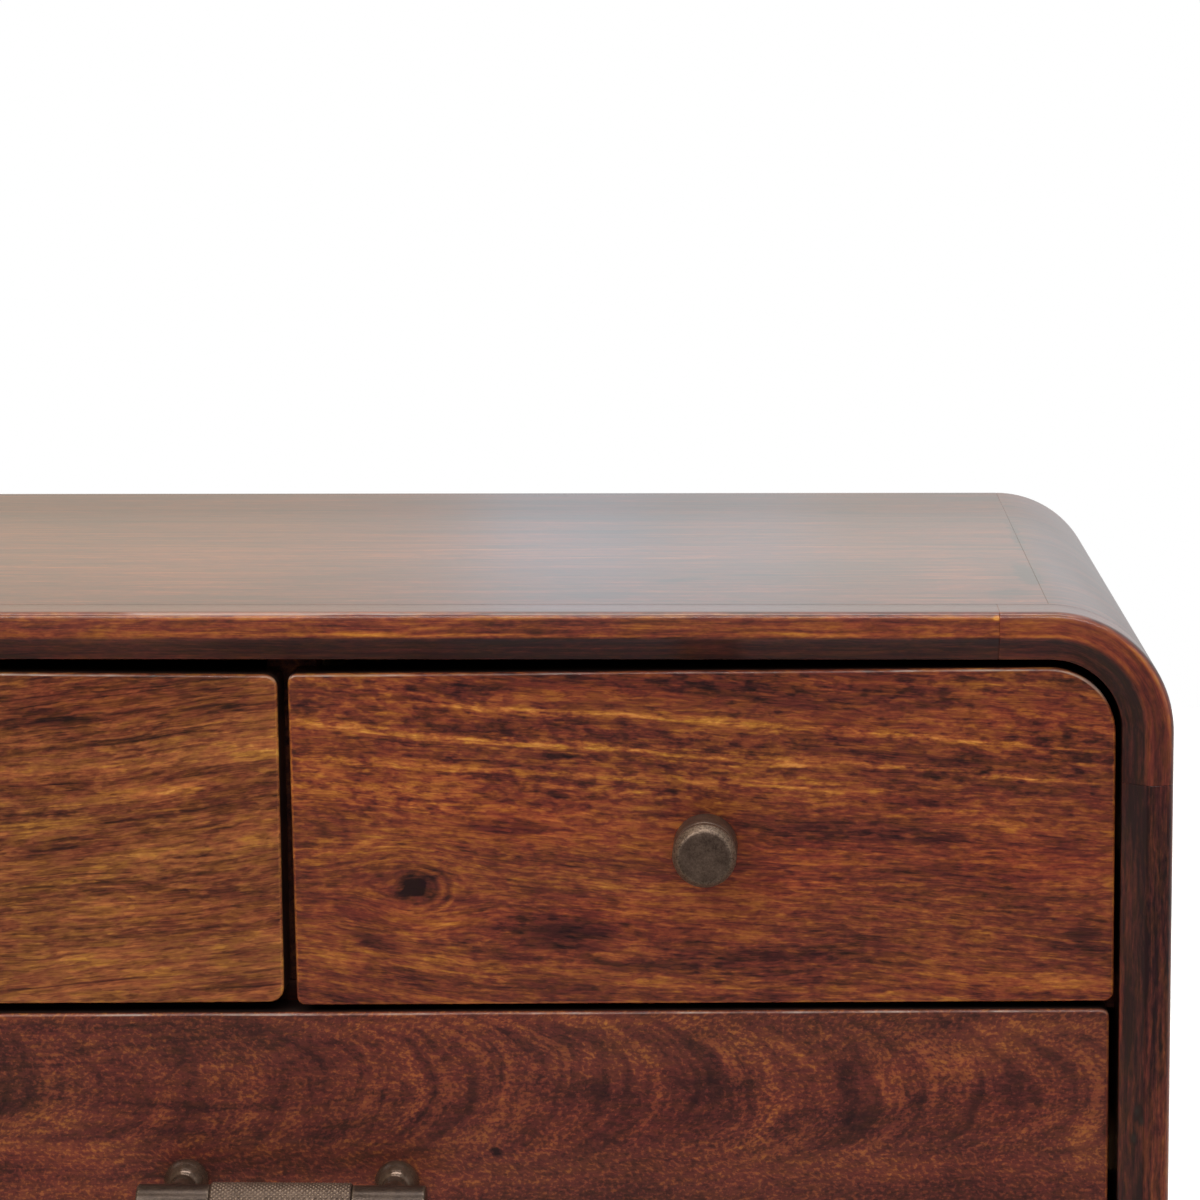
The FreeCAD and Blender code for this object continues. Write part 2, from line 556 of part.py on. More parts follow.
bbox = FreeCAD.BoundBox()
for s in made.values():
    bbox.add(s.BoundBox)
print(len(made), "pieces", [round(v, 2) for v in (bbox.XMin, bbox.XMax, bbox.YMin, bbox.YMax, bbox.ZMin, bbox.ZMax)])
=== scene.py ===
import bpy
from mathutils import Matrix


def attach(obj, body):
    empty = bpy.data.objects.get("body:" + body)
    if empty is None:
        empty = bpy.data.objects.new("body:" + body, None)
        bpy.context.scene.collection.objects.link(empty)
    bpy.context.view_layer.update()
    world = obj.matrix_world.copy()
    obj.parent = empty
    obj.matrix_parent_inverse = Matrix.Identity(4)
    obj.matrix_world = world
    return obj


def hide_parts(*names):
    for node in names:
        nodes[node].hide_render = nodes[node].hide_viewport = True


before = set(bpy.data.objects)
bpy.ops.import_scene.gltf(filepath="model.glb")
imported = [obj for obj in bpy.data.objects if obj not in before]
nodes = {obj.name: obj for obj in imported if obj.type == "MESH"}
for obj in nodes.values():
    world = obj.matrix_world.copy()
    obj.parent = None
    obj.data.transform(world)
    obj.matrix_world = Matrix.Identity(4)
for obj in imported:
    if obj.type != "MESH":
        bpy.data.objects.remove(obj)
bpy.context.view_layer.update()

import math

import bmesh
import bpy
import numpy as np
from mathutils import Matrix, Vector, noise

# Three-drawer nightstand: chestnut-stained figured wood, antique bronze fittings.
# Lengths below are millimetres in the part's frame unless they say otherwise.

scene = bpy.context.scene
MM = 0.001

scene.view_settings.view_transform = "Standard"
scene.view_settings.look = "None"

# sizes shared with the construction model
Y_FRONT, Y_BACK = -162.5, 187.5
Z_TOP, Z_BOT = 560.0, 306.0
Z_MID = (Z_TOP + Z_BOT) / 2
HALF_W, T, R_OUT, FLAT = 277.5, 15.7, 38.0, 239.5
RAIL_END = 223.3
EXT = FLAT - RAIL_END
Y_DF, Y_DB = -154.5, -136.5
KNOB_X, KNOB_Z = 132.2, 485.5
PULL_Z, Y_BAR = 376.0, -180.7
PULL_X = 33.7


# ------------------------------------------------------------------ shader helpers
class Sock:
    """An output of a shader node, with arithmetic."""

    def __init__(self, g, out):
        self.g, self.out = g, out

    def __add__(self, o):
        return self.g.m("ADD", self, o)

    def __radd__(self, o):
        return self.g.m("ADD", self, o)

    def __sub__(self, o):
        return self.g.m("SUBTRACT", self, o)

    def __rsub__(self, o):
        return self.g.m("SUBTRACT", o, self)

    def __mul__(self, o):
        return self.g.m("MULTIPLY", self, o)

    def __rmul__(self, o):
        return self.g.m("MULTIPLY", self, o)


class Graph:
    """A material under construction."""

    def __init__(self, name):
        self.mat = bpy.data.materials.new(name)
        self.mat.use_nodes = True
        self.tree = self.mat.node_tree
        self.tree.nodes.clear()

    def node(self, kind, **props):
        n = self.tree.nodes.new(kind)
        for k, v in props.items():
            setattr(n, k, v)
        return n

    def put(self, sock, val):
        if isinstance(val, Sock):
            self.tree.links.new(val.out, sock)
        else:
            sock.default_value = val

    def m(self, op, a, b=None, c=None, clamp=False):
        n = self.node("ShaderNodeMath", operation=op, use_clamp=clamp)
        for i, x in enumerate((a, b, c)):
            if x is not None:
                self.put(n.inputs[i], x)
        return Sock(self, n.outputs[0])

    def vm(self, op, a, b=None, c=None, value=False):
        n = self.node("ShaderNodeVectorMath", operation=op)
        for i, x in enumerate((a, b, c)):
            if x is not None:
                self.put(n.inputs[i], x)
        return Sock(self, n.outputs["Value" if value else "Vector"])

    def vec(self, x, y, z):
        n = self.node("ShaderNodeCombineXYZ")
        for i, a in enumerate((x, y, z)):
            self.put(n.inputs[i], a)
        return Sock(self, n.outputs[0])

    def xyz(self, v):
        n = self.node("ShaderNodeSeparateXYZ")
        self.put(n.inputs[0], v)
        return [Sock(self, o) for o in n.outputs]

    def noise(self, p, f, off=(0, 0, 0), detail=2.0, rough=0.5, color=False):
        n = self.node("ShaderNodeTexNoise", noise_dimensions="3D")
        self.put(n.inputs["Vector"], self.vm("MULTIPLY_ADD", p, f, off))
        n.inputs["Scale"].default_value = 1.0
        n.inputs["Detail"].default_value = detail
        n.inputs["Roughness"].default_value = rough
        return Sock(self, n.outputs["Color" if color else 0])

    def cells(self, p, f, off=(0, 0, 0), feature="F1", rand=1.0):
        n = self.node("ShaderNodeTexVoronoi", voronoi_dimensions="3D", feature=feature)
        self.put(n.inputs["Vector"], self.vm("MULTIPLY_ADD", p, f, off))
        n.inputs["Scale"].default_value = 1.0
        n.inputs["Randomness"].default_value = rand
        return Sock(self, n.outputs["Distance"])

    def step(self, x, lo, hi, a=0.0, b=1.0):
        n = self.node("ShaderNodeMapRange", interpolation_type="SMOOTHSTEP")
        for i, v in enumerate((x, lo, hi, a, b)):
            self.put(n.inputs[i], v)
        return Sock(self, n.outputs[0])

    def mix(self, f, a, b, blend="MIX"):
        n = self.node("ShaderNodeMix", data_type="RGBA", blend_type=blend)
        self.put(n.inputs[0], f)
        self.put(n.inputs[6], a)
        self.put(n.inputs[7], b)
        return Sock(self, n.outputs[2])

    def ramp(self, f, stops):
        n = self.node("ShaderNodeValToRGB")
        els = n.color_ramp.elements
        while len(els) < len(stops):
            els.new(0.5)
        for e, (p, c) in zip(els, stops):
            e.position = p
            e.color = c
        self.put(n.inputs[0], f)
        return Sock(self, n.outputs[0])

    def spot(self, q, cx, cy, a, b, deg, amp, inner=0.0):
        """A soft ellipse at (cx, cy) in the plane of q."""
        n = self.node("ShaderNodeMapping", vector_type="TEXTURE")
        self.put(n.inputs["Vector"], q)
        n.inputs["Location"].default_value = (cx, cy, 0)
        n.inputs["Rotation"].default_value = (0, 0, math.radians(deg))
        n.inputs["Scale"].default_value = (a, b, 1)
        r = self.vm("LENGTH", Sock(self, n.outputs[0]), value=True)
        return self.step(r, inner, 1.0, amp, 0.0)

    def object_mm(self):
        n = self.node("ShaderNodeTexCoord")
        return self.vm("MULTIPLY", Sock(self, n.outputs["Object"]), (1000.0, 1000.0, 1000.0))

    def attr(self, name):
        n = self.node("ShaderNodeAttribute", attribute_name=name)
        return Sock(self, n.outputs["Vector"])

    def facing(self, d):
        n = self.node("ShaderNodeNewGeometry")
        return self.vm("DOT_PRODUCT", Sock(self, n.outputs["Normal"]), d, value=True)

    def bump(self, height, strength, distance):
        n = self.node("ShaderNodeBump")
        n.inputs["Strength"].default_value = strength
        n.inputs["Distance"].default_value = distance
        self.put(n.inputs["Height"], height)
        return Sock(self, n.outputs[0])

    def surface(self, color, rough, normal=None, metallic=0.0, coat=0.0, coat_rough=0.1, spec=0.5):
        b = self.node("ShaderNodeBsdfPrincipled")
        self.put(b.inputs["Base Color"], color)
        self.put(b.inputs["Roughness"], rough)
        b.inputs["Metallic"].default_value = metallic
        b.inputs["Specular IOR Level"].default_value = spec
        b.inputs["Coat Weight"].default_value = coat
        b.inputs["Coat Roughness"].default_value = coat_rough
        if normal is not None:
            self.put(b.inputs["Normal"], normal)
        o = self.node("ShaderNodeOutputMaterial")
        self.tree.links.new(b.outputs[0], o.inputs[0])
        return self.mat


def lin(c):
    c /= 255.0
    return c / 12.92 if c <= 0.04045 else ((c + 0.055) / 1.055) ** 2.4


def tone_of(r, g, b, light=0.74, gloss=0.005):
    """Base colour that shows as this screen colour on a front face under the studio light."""
    return tuple(max(0.0022, (lin(c) - gloss) / light) for c in (r, g, b)) + (1.0,)


CHESTNUT = [(0.0, tone_of(38, 26, 27)), (0.2, tone_of(64, 35, 31)), (0.38, tone_of(90, 45, 35)),
            (0.55, tone_of(115, 61, 38)), (0.72, tone_of(139, 82, 42)), (0.88, tone_of(159, 100, 47)),
            (1.0, tone_of(178, 120, 60))]
HONEY = [(0.0, tone_of(38, 27, 26)), (0.2, tone_of(64, 37, 29)), (0.38, tone_of(90, 50, 34)),
         (0.55, tone_of(113, 66, 40)), (0.72, tone_of(136, 84, 46)), (0.88, tone_of(156, 100, 50)),
         (1.0, tone_of(176, 122, 64))]
PLUM = [(0.0, tone_of(42, 29, 29)), (0.2, tone_of(62, 36, 33)), (0.38, tone_of(87, 45, 38)),
        (0.55, tone_of(111, 60, 41)), (0.72, tone_of(135, 79, 44)), (0.88, tone_of(154, 97, 49)),
        (1.0, tone_of(172, 114, 58))]
PALE = [(0.0, tone_of(118, 84, 58)), (0.3, tone_of(160, 122, 86)), (0.6, tone_of(190, 152, 110)),
        (0.85, tone_of(208, 174, 132)), (1.0, tone_of(222, 192, 152))]


# ------------------------------------------------------------------ wood
def figure(g, P, seed, wave=5.0, ripple=1.6, cloud=0.9, band=1.3, streak=0.8, fleck=1.2, fibre=0.35, size=1.0,
           dark=0.0, gold=0.0, crisp=0.0):
    """Grain of figured hardwood. P: mm along, across and into the board. Gives the tone and its parts."""
    def o(i):
        return (seed * 37.13 + 11.3 * i, seed * 17.71 + 5.9 * i, seed * 7.37 + 3.1 * i)
    s = 1.0 / size
    a = g.noise(P, (0.011, 0.028, 0.028), o(1), 1.0, color=True)
    W = g.vm("MULTIPLY_ADD", a, (6.0, wave * 2, wave * 2), P)
    b = g.noise(W, (0.06, 0.15, 0.15), o(2), 2.0, color=True)
    W = g.vm("MULTIPLY_ADD", b, (5.0, ripple * 2, ripple * 2), W)
    n_cloud = g.noise(W, (s / 85, s / 24, s / 24), o(3), 2.0, 0.55)
    n_band = g.noise(W, (s / 240, s / 7.0, s / 7.0), o(4), 2.0, 0.6)
    n_streak = g.noise(W, (s / 36, s / 1.9, s / 1.9), o(5), 3.0, 0.62)
    n_fleck = g.noise(W, (s / 3.4, s / 1.0, s / 1.0), o(6), 3.0, 0.62)
    n_fibre = g.noise(W, (s / 20, s / 0.4, s / 0.4), o(7), 1.0, 0.5)
    tone = (n_cloud - 0.5) * cloud + (n_band - 0.5) * band + (n_streak - 0.5) * streak
    tone = tone + (n_fleck - 0.5) * fleck + (n_fibre - 0.5) * fibre
    if dark:
        # crisp dark flecks that gather in drifts along the grain
        drift = g.noise(W, (s / 46, s / 6.5, s / 6.5), o(8), 2.0, 0.6)
        speck = g.noise(W, (s / 4.0, s / 0.95, s / 0.95), o(9), 2.0, 0.55)
        tone = tone - g.step((drift - 0.5) * 0.85 + speck, 0.50, 0.70) * dark
    if crisp:
        # sharp small flecks, light and dark, drawn out along the grain
        lit = g.noise(W, (s / 7.5, s / 1.35, s / 1.35), o(14), 2.0, 0.55)
        dim = g.noise(W, (s / 9.5, s / 1.15, s / 1.15), o(15), 2.0, 0.55)
        tone = tone + (g.step(lit, 0.52, 0.585) - g.step(dim, 0.53, 0.60) - 0.02) * crisp
    if gold:
        # fine long golden lines
        line = g.noise(W, (s / 300, s / 9.0, s / 9.0), o(10), 1.0, 0.5)
        fade = g.step(g.noise(W, (s / 60, s / 9.0, s / 9.0), o(12), 1.0), 0.42, 0.60)
        tone = tone + g.step(g.m("ABSOLUTE", line - 0.5), 0.030, 0.004) * fade * gold
    return {"W": W, "tone": tone, "cloud": n_cloud, "band": n_band, "streak": n_streak,
            "fleck": n_fleck, "fibre": n_fibre, "o": o, "warp": b}


def stained(g, P, fig, tone, ramp=CHESTNUT, rough=0.36, coat=0.30, coat_rough=0.13, bump=1.0, red=0.28, spec=0.22, vary=1.0,
            pale=None, rich=0.6, gap_shade_and_knot=None, rosy=None):
    """Lacquered stained surface from a tone."""
    col = g.ramp(tone, ramp)
    hue = g.noise(P, (1 / 70, 1 / 17, 1 / 17), fig["o"](11), 1.0)
    col = g.mix(g.step(hue, 0.46, 0.68, 0.0, red), col, (1.03, 0.80, 0.78, 1.0), "MULTIPLY")
    if rosy is not None:
        col = g.mix(rosy, col, (1.03, 0.82, 0.90, 1.0), "MULTIPLY")
    turn = g.noise(fig["W"], (1 / 9.0, 1 / 2.4, 1 / 2.4), fig["o"](13), 3.0, 0.6)
    col = g.mix(g.step(hue, 0.52, 0.34, 0.0, red * 1.6), col, (0.98, 1.12, 0.90, 1.0), "MULTIPLY")
    col = g.mix(g.step(turn, 0.54, 0.38, 0.0, rich), col, (1.00, 0.80, 1.04, 1.0), "MULTIPLY")
    col = g.mix(g.step(turn, 0.48, 0.64, 0.0, rich), col, (1.01, 1.15, 0.68, 1.0), "MULTIPLY")
    pore = g.step(fig["fibre"], 0.60, 0.74)
    col = g.mix(pore * 0.36, col, (0.30, 0.26, 0.28, 1.0), "MULTIPLY")
    # painted highlight: a pale colour mixed in on upward-facing rounded edges where the caller's mask puts it
    if pale is not None:
        col = g.mix(pale, col, (0.62, 0.52, 0.45, 1.0))
    if gap_shade_and_knot is not None:
        # painted shade on the edges inside the gaps, almost black; the frame also passes a dark knot on the right stile
        # through it
        col = g.mix(gap_shade_and_knot, col, (0.024, 0.0175, 0.0155, 1.0))
    r = (fig["fleck"] - 0.5) * (0.16 * vary) + (pore * (0.10 * vary) + rough)
    h = fig["fibre"] * 0.6 + fig["cloud"] * 1.6 + fig["fleck"] * 0.5
    nrm = g.bump(h, 0.30 * bump, 0.00022)
    return g.surface(col, r, nrm, coat=coat, coat_rough=coat_rough, spec=spec)


# marks on the drawer faces: centre x, z, half length, half width, angle, tone
RIGHT_MARKS = [
    (135.0, 537.0, 175.0, 17.0, -1.0, -0.20), (160.0, 497.0, 60.0, 13.0, -2.0, 0.13), (67.0, 495.0, 34.0, 11.0, -3.0, -0.10),
    (8.0, 513.0, 18.0, 14.0, 0.0, 0.12), (192.0, 514.0, 44.0, 11.0, -4.0, -0.09), (14.0, 478.0, 22.0, 13.0, 0.0, 0.11),
    (135.0, 477.0, 34.0, 11.0, 0.0, -0.09), (212.0, 460.0, 54.0, 13.0, -2.0, 0.13), (248.0, 488.0, 22.0, 15.0, 0.0, -0.09),
    (92.0, 441.0, 30.0, 9.0, 0.0, -0.08),
    (33.2, 521.3, 32.0, 2.2, -6.7, 0.40, 0.45), (83.5, 517.4, 26.0, 2.0, -3.3, 0.38, 0.45), (136.7, 513.7, 35.0, 2.0, -5.7, 0.36, 0.45),
    (80.4, 527.6, 35.0, 1.8, -3.5, 0.30, 0.45), (161.7, 522.6, 54.0, 1.9, -4.3, 0.34, 0.45), (231.8, 517.0, 23.0, 1.6, -3.5, 0.28, 0.45),
    (208.0, 520.0, 34.0, 1.5, -4.4, 0.30, 0.45), (188.0, 511.0, 30.0, 1.4, -4.0, 0.28, 0.45), (236.0, 506.5, 20.0, 1.4, -4.0, 0.26, 0.45),
    (190.0, 497.5, 40.0, 1.2, -3.6, 0.22, 0.45), (60.0, 497.0, 30.0, 1.6, -3.0, 0.22, 0.45), (225.0, 492.0, 26.0, 1.2, -3.4, 0.20, 0.45),
    (31.5, 511.1, 30.0, 1.8, -4.4, 0.28, 0.45), (85.0, 508.2, 30.0, 1.6, -1.9, 0.24, 0.45), (152.3, 514.9, 25.0, 1.5, -3.7, 0.26, 0.45),
    (211.6, 509.0, 31.0, 1.8, -4.2, 0.30, 0.45), (161.7, 504.5, 34.0, 1.6, -3.9, 0.24, 0.45), (107.0, 502.4, 23.0, 1.6, -4.8, 0.22, 0.45),
    (33.0, 503.1, 32.0, 3.4, -2.1, 0.24, 0.45), (130.5, 505.1, 31.2, 2.1, -2.0, 0.14),
    (28.1, 485.1, 12.5, 7.5, 0.0, 0.20), (14.9, 448.1, 16.2, 4.0, -12.0, 0.20), (49.9, 459.5, 13.1, 3.7, 14.0, 0.22),
    (98.7, 440.4, 46.7, 4.4, 1.0, 0.16), (180.6, 480.7, 28.0, 5.6, 2.0, 0.12), (149.2, 456.6, 21.8, 4.4, -6.0, 0.16),
    (201.3, 449.5, 28.0, 2.8, -4.0, 0.14), (243.3, 441.6, 18.1, 4.0, 0.0, 0.16),
    (53.9, 535.2, 26.5, 2.8, -2.0, -0.30), (85.4, 513.6, 14.3, 2.0, -3.0, -0.26), (69.1, 490.7, 20.6, 3.4, -3.0, -0.18),
    (27.0, 454.6, 16.2, 5.3, -20.0, -0.26), (87.8, 454.8, 21.0, 9.0, 0.0, -0.22), (70.3, 447.7, 17.1, 1.8, 5.0, -0.20),
    (251.0, 457.0, 8.1, 5.6, 0.0, -0.20), (113.0, 446.5, 24.9, 2.6, -3.0, -0.20), (204.0, 487.2, 12.5, 2.0, 0.0, -0.18),
    (149.2, 436.1, 21.8, 2.4, 0.0, -0.20),
]
LEFT_MARKS = [
    (-24.0, 534.0, 42.0, 13.0, 5.0, -0.20), (-9.0, 514.0, 16.0, 12.0, 6.0, 0.12), (-72.0, 479.0, 28.0, 11.0, 6.0, -0.12),
    (-9.0, 459.0, 15.0, 12.0, 4.0, 0.11), (-36.0, 496.0, 22.0, 10.0, 7.0, 0.10),
    (-39.9, 494.5, 44.0, 3.3, 8.5, -0.14), (-42.9, 501.9, 47.0, 3.6, 8.0, 0.24), (-70.9, 526.5, 31.2, 10.6, 5.0, -0.14),
    (-68.0, 447.1, 28.0, 5.6, 4.0, 0.20), (-20.3, 441.5, 21.2, 7.5, 2.0, -0.16), (-53.0, 476.8, 40.5, 5.0, 6.0, 0.10),
    (-26.5, 531.3, 24.9, 4.4, 4.0, 0.10), (-158.4, 512.0, 60.0, 4.0, 5.0, 0.18), (-188.4, 470.0, 45.0, 9.0, 3.0, -0.16),
    (-213.4, 525.0, 34.0, 4.0, 2.0, -0.18),
]
LOWER_MARKS = [
    (219.0, 419.0, 18.0, 18.0, 0.0, 0.12),
    (134.9, 405.3, 17.0, 13.0, -12.0, -0.09), (146.5, 407.0, 9.0, 7.0, 0.0, -0.09), (176.9, 409.0, 4.5, 13.0, 0.0, -0.17),
    (178.0, 397.0, 3.0, 6.0, 0.0, -0.10), (158.6, 419.7, 16.0, 3.0, -38.0, 0.22), (154.0, 399.0, 12.0, 4.0, 50.0, 0.16),
    (251.0, 391.0, 10.0, 14.0, 0.0, 0.18), (236.0, 427.5, 28.0, 4.0, 0.0, 0.12), (85.0, 428.0, 85.0, 3.5, 0.6, 0.14),
    (190.0, 407.0, 12.0, 10.0, 0.0, 0.10), (198.0, 403.7, 5.0, 4.0, 0.0, -0.14), (65.9, 385.7, 2.2, 2.6, 0.0, -0.40),
        (10.0, 391.0, 22.0, 5.0, 25.0, -0.14), (-64.8, 379.9, 32.7, 7.5, 5.0, 0.12),
    (-188.4, 390.0, 45.0, 12.0, 4.0, 0.10), (-148.4, 350.0, 60.0, 10.0, -4.0, -0.12), (121.6, 345.0, 70.0, 9.0, 5.0, 0.10),
]


KNOT = (40.5, 471.2)
# redder areas of the faces
ROSY = {
    "knot": [(72.0, 491.0, 52.0, 15.0, -3.0, 0.75), (150.0, 482.0, 66.0, 20.0, -2.0, 0.75), (236.0, 521.0, 44.0, 18.0, 0.0, 0.6),
             (232.0, 482.0, 46.0, 24.0, 0.0, 0.6), (110.0, 536.0, 120.0, 9.0, -1.0, 0.7), (90.0, 458.0, 40.0, 16.0, 0.0, 0.5)],
    "plain": [(-58.0, 529.0, 80.0, 18.0, 5.0, 0.8), (-205.0, 500.0, 60.0, 26.0, 4.0, 0.5), (-140.0, 450.0, 60.0, 14.0, 3.0, 0.4)],
    "flame": [(120.0, 394.0, 60.0, 22.0, 0.0, 0.45), (236.0, 405.0, 36.0, 24.0, 0.0, 0.5), (-160.0, 380.0, 90.0, 40.0, 0.0, 0.4)],
}


def front_wood(name, seed, slope, marks, base, kind):
    g = Graph(name)
    p = g.object_mm()
    x, y, z = g.xyz(p)
    Q = g.vec(x, z, y * 0.0)
    c, s = math.cos(math.radians(slope)), math.sin(math.radians(slope))
    P = g.vec(x * c + z * s, z * c - x * s, y)
    if kind == "knot":
        # the grain parts around the knot and dips steeper towards the lower left
        cx, cz = KNOT
        near = g.spot(Q, cx, cz, 30.0, 19.0, 0.0, 0.62)
        dip = g.spot(Q, 20.0, 436.0, 90.0, 34.0, 0.0, 0.10)
        v = (z * c - x * s) - (z - cz) * near + (x - 20.0) * dip
        P = g.vec(x * c + z * s, v, y)
        fig = figure(g, P, seed, wave=3.4, ripple=1.0, cloud=0.70, band=0.60, streak=0.42, fleck=0.42, fibre=0.40,
                     dark=0.09, gold=0.14, crisp=0.115)
    elif kind == "flame":
        fig = figure(g, P, seed, wave=5.0, ripple=2.0, cloud=0.50, band=0.20, streak=0.15, fleck=0.30, fibre=0.14)
    else:
        fig = figure(g, P, seed, wave=3.0, ripple=0.8, cloud=0.60, band=0.80, streak=0.42, fleck=0.42, fibre=0.50, size=1.15,
                     dark=0.10, gold=0.10, crisp=0.135)
    # irregular edges of the marks
    Qw = g.vm("MULTIPLY_ADD", fig["warp"], (9.0, 2.0, 0.0), g.vm("ADD", Q, (-4.5, -1.0, 0.0)))
    tone = fig["tone"] + base
    mot = g.noise(P, (1 / 3.4, 1 / 1.8, 1 / 1.8), (seed * 1.7, 4.0, 9.0), 3.0, 0.6)
    for mark in [m for m in marks if len(m) == 6 and m[5] > 0]:
        tone = tone + g.spot(Qw, *mark)
    stain = None
    for mark in [m for m in marks if len(m) == 6 and m[5] < 0]:
        sp = g.spot(Qw, *mark)
        stain = sp if stain is None else stain + sp
    tone = tone + stain * ((mot - 0.5) * 2.8 + (fig["streak"] - 0.5) * 1.8 + (fig["fleck"] - 0.5) * 1.2 + 1.15)
    long = [g.spot(Qw, m[0], m[1], m[2] * 1.5, m[3] * 1.05, *m[4:]) for m in marks if len(m) == 7]
    if long:
        glow = long[0]
        for sp in long[1:]:
            glow = glow + sp
        thread = g.noise(P, (1 / 85, 1 / 1.7, 1.0), (4.7, 2.9, 0.0), 2.0, 0.55)
        tone = tone + glow * (g.step(thread, 0.38, 0.62) * 0.52 + (fig["fleck"] - 0.5) * 1.1 + 0.24)
    if kind == "knot":
        rk = g.node("ShaderNodeMapping", vector_type="TEXTURE")
        g.put(rk.inputs["Vector"], g.vm("MULTIPLY_ADD", fig["warp"], (3.4, 2.4, 0.0), g.vm("ADD", Q, (-1.7, -1.2, 0.0))))
        rk.inputs["Location"].default_value = (KNOT[0], KNOT[1], 0)
        rk.inputs["Scale"].default_value = (1.45, 1.0, 1.0)
        rad = g.vm("LENGTH", Sock(g, rk.outputs[0]), value=True)
        ring = g.m("SINE", rad * 2.3)
        right = g.step(x, KNOT[0] - 3.0, KNOT[0] + 7.0)
        tone = tone + ring * g.step(rad, 3.4, 5.0) * g.step(rad, 11.5, 7.0) * right * 0.11
        tone = tone + g.step(rad, 6.0, 3.6) * -0.18
        tone = tone + g.step(rad + (fig["fleck"] - 0.5) * 1.6, 3.2, 0.8) * -0.9
        tone = tone + (mot - 0.5) * 0.40
        # beads of dark figure in rows across the upper half
        bead = g.noise(P, (1 / 4.4, 1 / 2.3, 1.0), (6.1, 2.7, 0.0), 2.0, 0.5)
        drift = g.noise(P, (1 / 75, 1 / 8.0, 1.0), (1.9, 7.3, 0.0), 2.0, 0.55)
        high = g.step(z + (fig["cloud"] - 0.5) * 40.0, 482.0, 506.0, 0.25, 1.0)
        tone = tone - g.step((drift - 0.5) * 0.60 + bead, 0.44, 0.70) * high * 0.23 + high * 0.07
    if kind == "plain":
        tone = tone + (mot - 0.5) * g.step(z, 440.0, 500.0, 0.16, 0.48)
        line = g.noise(fig["W"], (1 / 240, 1 / 7.0, 1 / 7.0), (2.0, 5.0, 3.0), 1.0, 0.5)
        fade = g.step(g.noise(P, (1 / 45, 1 / 10, 1 / 10), (6.0, 1.0, 4.0), 2.0), 0.42, 0.62)
        tone = tone - g.step(g.m("ABSOLUTE", line - 0.5), 0.022, 0.003) * fade * 0.22
    if kind == "flame":
        # nested arcs of small flecks, their tips to the right
        wob = g.xyz(g.noise(Q, (1 / 42, 1 / 30, 1.0), (4.4, 1.3, 0.0), 2.0, color=True))
        dz = z - 407.0 + (wob[1] - 0.5) * 11.0
        d2 = dz * dz
        q = d2 * (1 / 42.0) + d2 * d2 * (1 / 24000.0) + x + (wob[0] - 0.5) * 19.0
        near = g.step(g.m("ABSOLUTE", dz), 30.0, 12.0)
        on = g.spot(Q, 70.0, 400.0, 310.0, 140.0, 0.0, 1.0, 0.60) * g.step(x + (wob[1] - 0.5) * 40.0, -20.0, 45.0, 0.55, 1.0)
        A = g.vec(q, dz, y * 0.0)
        wide = g.noise(A, (1 / 10.0, 1 / 80.0, 1.0), (3.1, 8.4, 0.0), 2.0, 0.5) - 0.5
        thin = g.noise(A, (1 / 4.2, 1 / 40.0, 1.0), (7.7, 1.9, 0.0), 1.0, 0.5) - 0.5
        # flecks lean with the arcs
        lean = g.vec(x + dz * dz * 0.02 * near, z, y * 0.0)
        mott = g.noise(lean, (1 / 2.1, 1 / 1.6, 1.0), (5.5, 3.7, 0.0), 3.0, 0.62)
        grit = g.noise(lean, (1 / 1.5, 1 / 1.2, 1.0), (2.2, 6.1, 0.0), 2.0, 0.60)
        clump = g.noise(Q, (1 / 5.0, 1 / 3.4, 1.0), (8.8, 0.7, 0.0), 2.0, 0.6)
        arc = (wide * 1.0 + thin * 0.85) * on * near
        off = 1.0 - on
        tone = tone + arc * 0.12 + (mott - 0.5) * 0.30 + (grit - 0.5) * 0.25 + (clump - 0.5) * 0.36
        tone = tone + ((fig["band"] - 0.5) * 0.9 + (fig["streak"] - 0.5) * 0.5) * off
        # broad golden arcs and the dark hollows between them
        swell = None
        for at, half, amount in ((-66.0, 5.0, 0.05), (-13.0, 7.0, 0.07), (41.0, 6.0, 0.17), (70.0, 3.0, 0.08), (96.0, 7.0, 0.19), (153.0, 8.0, 0.22),
                                 (207.0, 8.0, 0.12), (-45.0, 13.0, -0.05), (15.0, 12.0, -0.05), (64.0, 6.0, -0.07), (134.0, 11.0, -0.12),
                                 (-126.0, 9.0, 0.09), (-95.0, 11.0, -0.05), (-178.0, 8.0, 0.08), (-148.0, 9.0, -0.06), (236.0, 6.0, 0.07)):
            one = g.step(g.m("ABSOLUTE", q - at), half, half * 0.1, 0.0, amount * 0.55)
            swell = one if swell is None else swell + one
        patch = g.step(g.noise(Q, (1 / 46, 1 / 30, 1.0), (6.6, 2.4, 0.0), 2.0, 0.5), 0.38, 0.62, 0.10, 1.20)
        swell = swell * patch
        fine = g.noise(A, (1 / 2.8, 1 / 26.0, 1.0), (1.2, 4.9, 0.0), 2.0, 0.55)
        gate = g.step(g.noise(A, (1 / 34, 1 / 22, 1.0), (9.1, 3.3, 0.0), 2.0, 0.5), 0.44, 0.60)
        tone = tone - g.step(fine, 0.53, 0.64) * g.step(mott, 0.36, 0.52) * gate * near * on * 0.13
        arc = arc + swell * near
        tone = tone + swell * near * ((grit - 0.5) * 3.0 + 0.75)
        tone = tone + g.step(grit + arc * 0.6, 0.53, 0.60) * 0.14 - g.step(mott - arc * 0.6, 0.54, 0.61) * 0.12
    # redder and more golden areas
    rosy = None
    for mark in ROSY[kind]:
        sp = g.spot(Qw, *mark)
        rosy = sp if rosy is None else rosy + sp
    rosy = rosy * ((fig["band"] - 0.5) * 1.6 + (mot - 0.5) * 1.4 + 1.0)
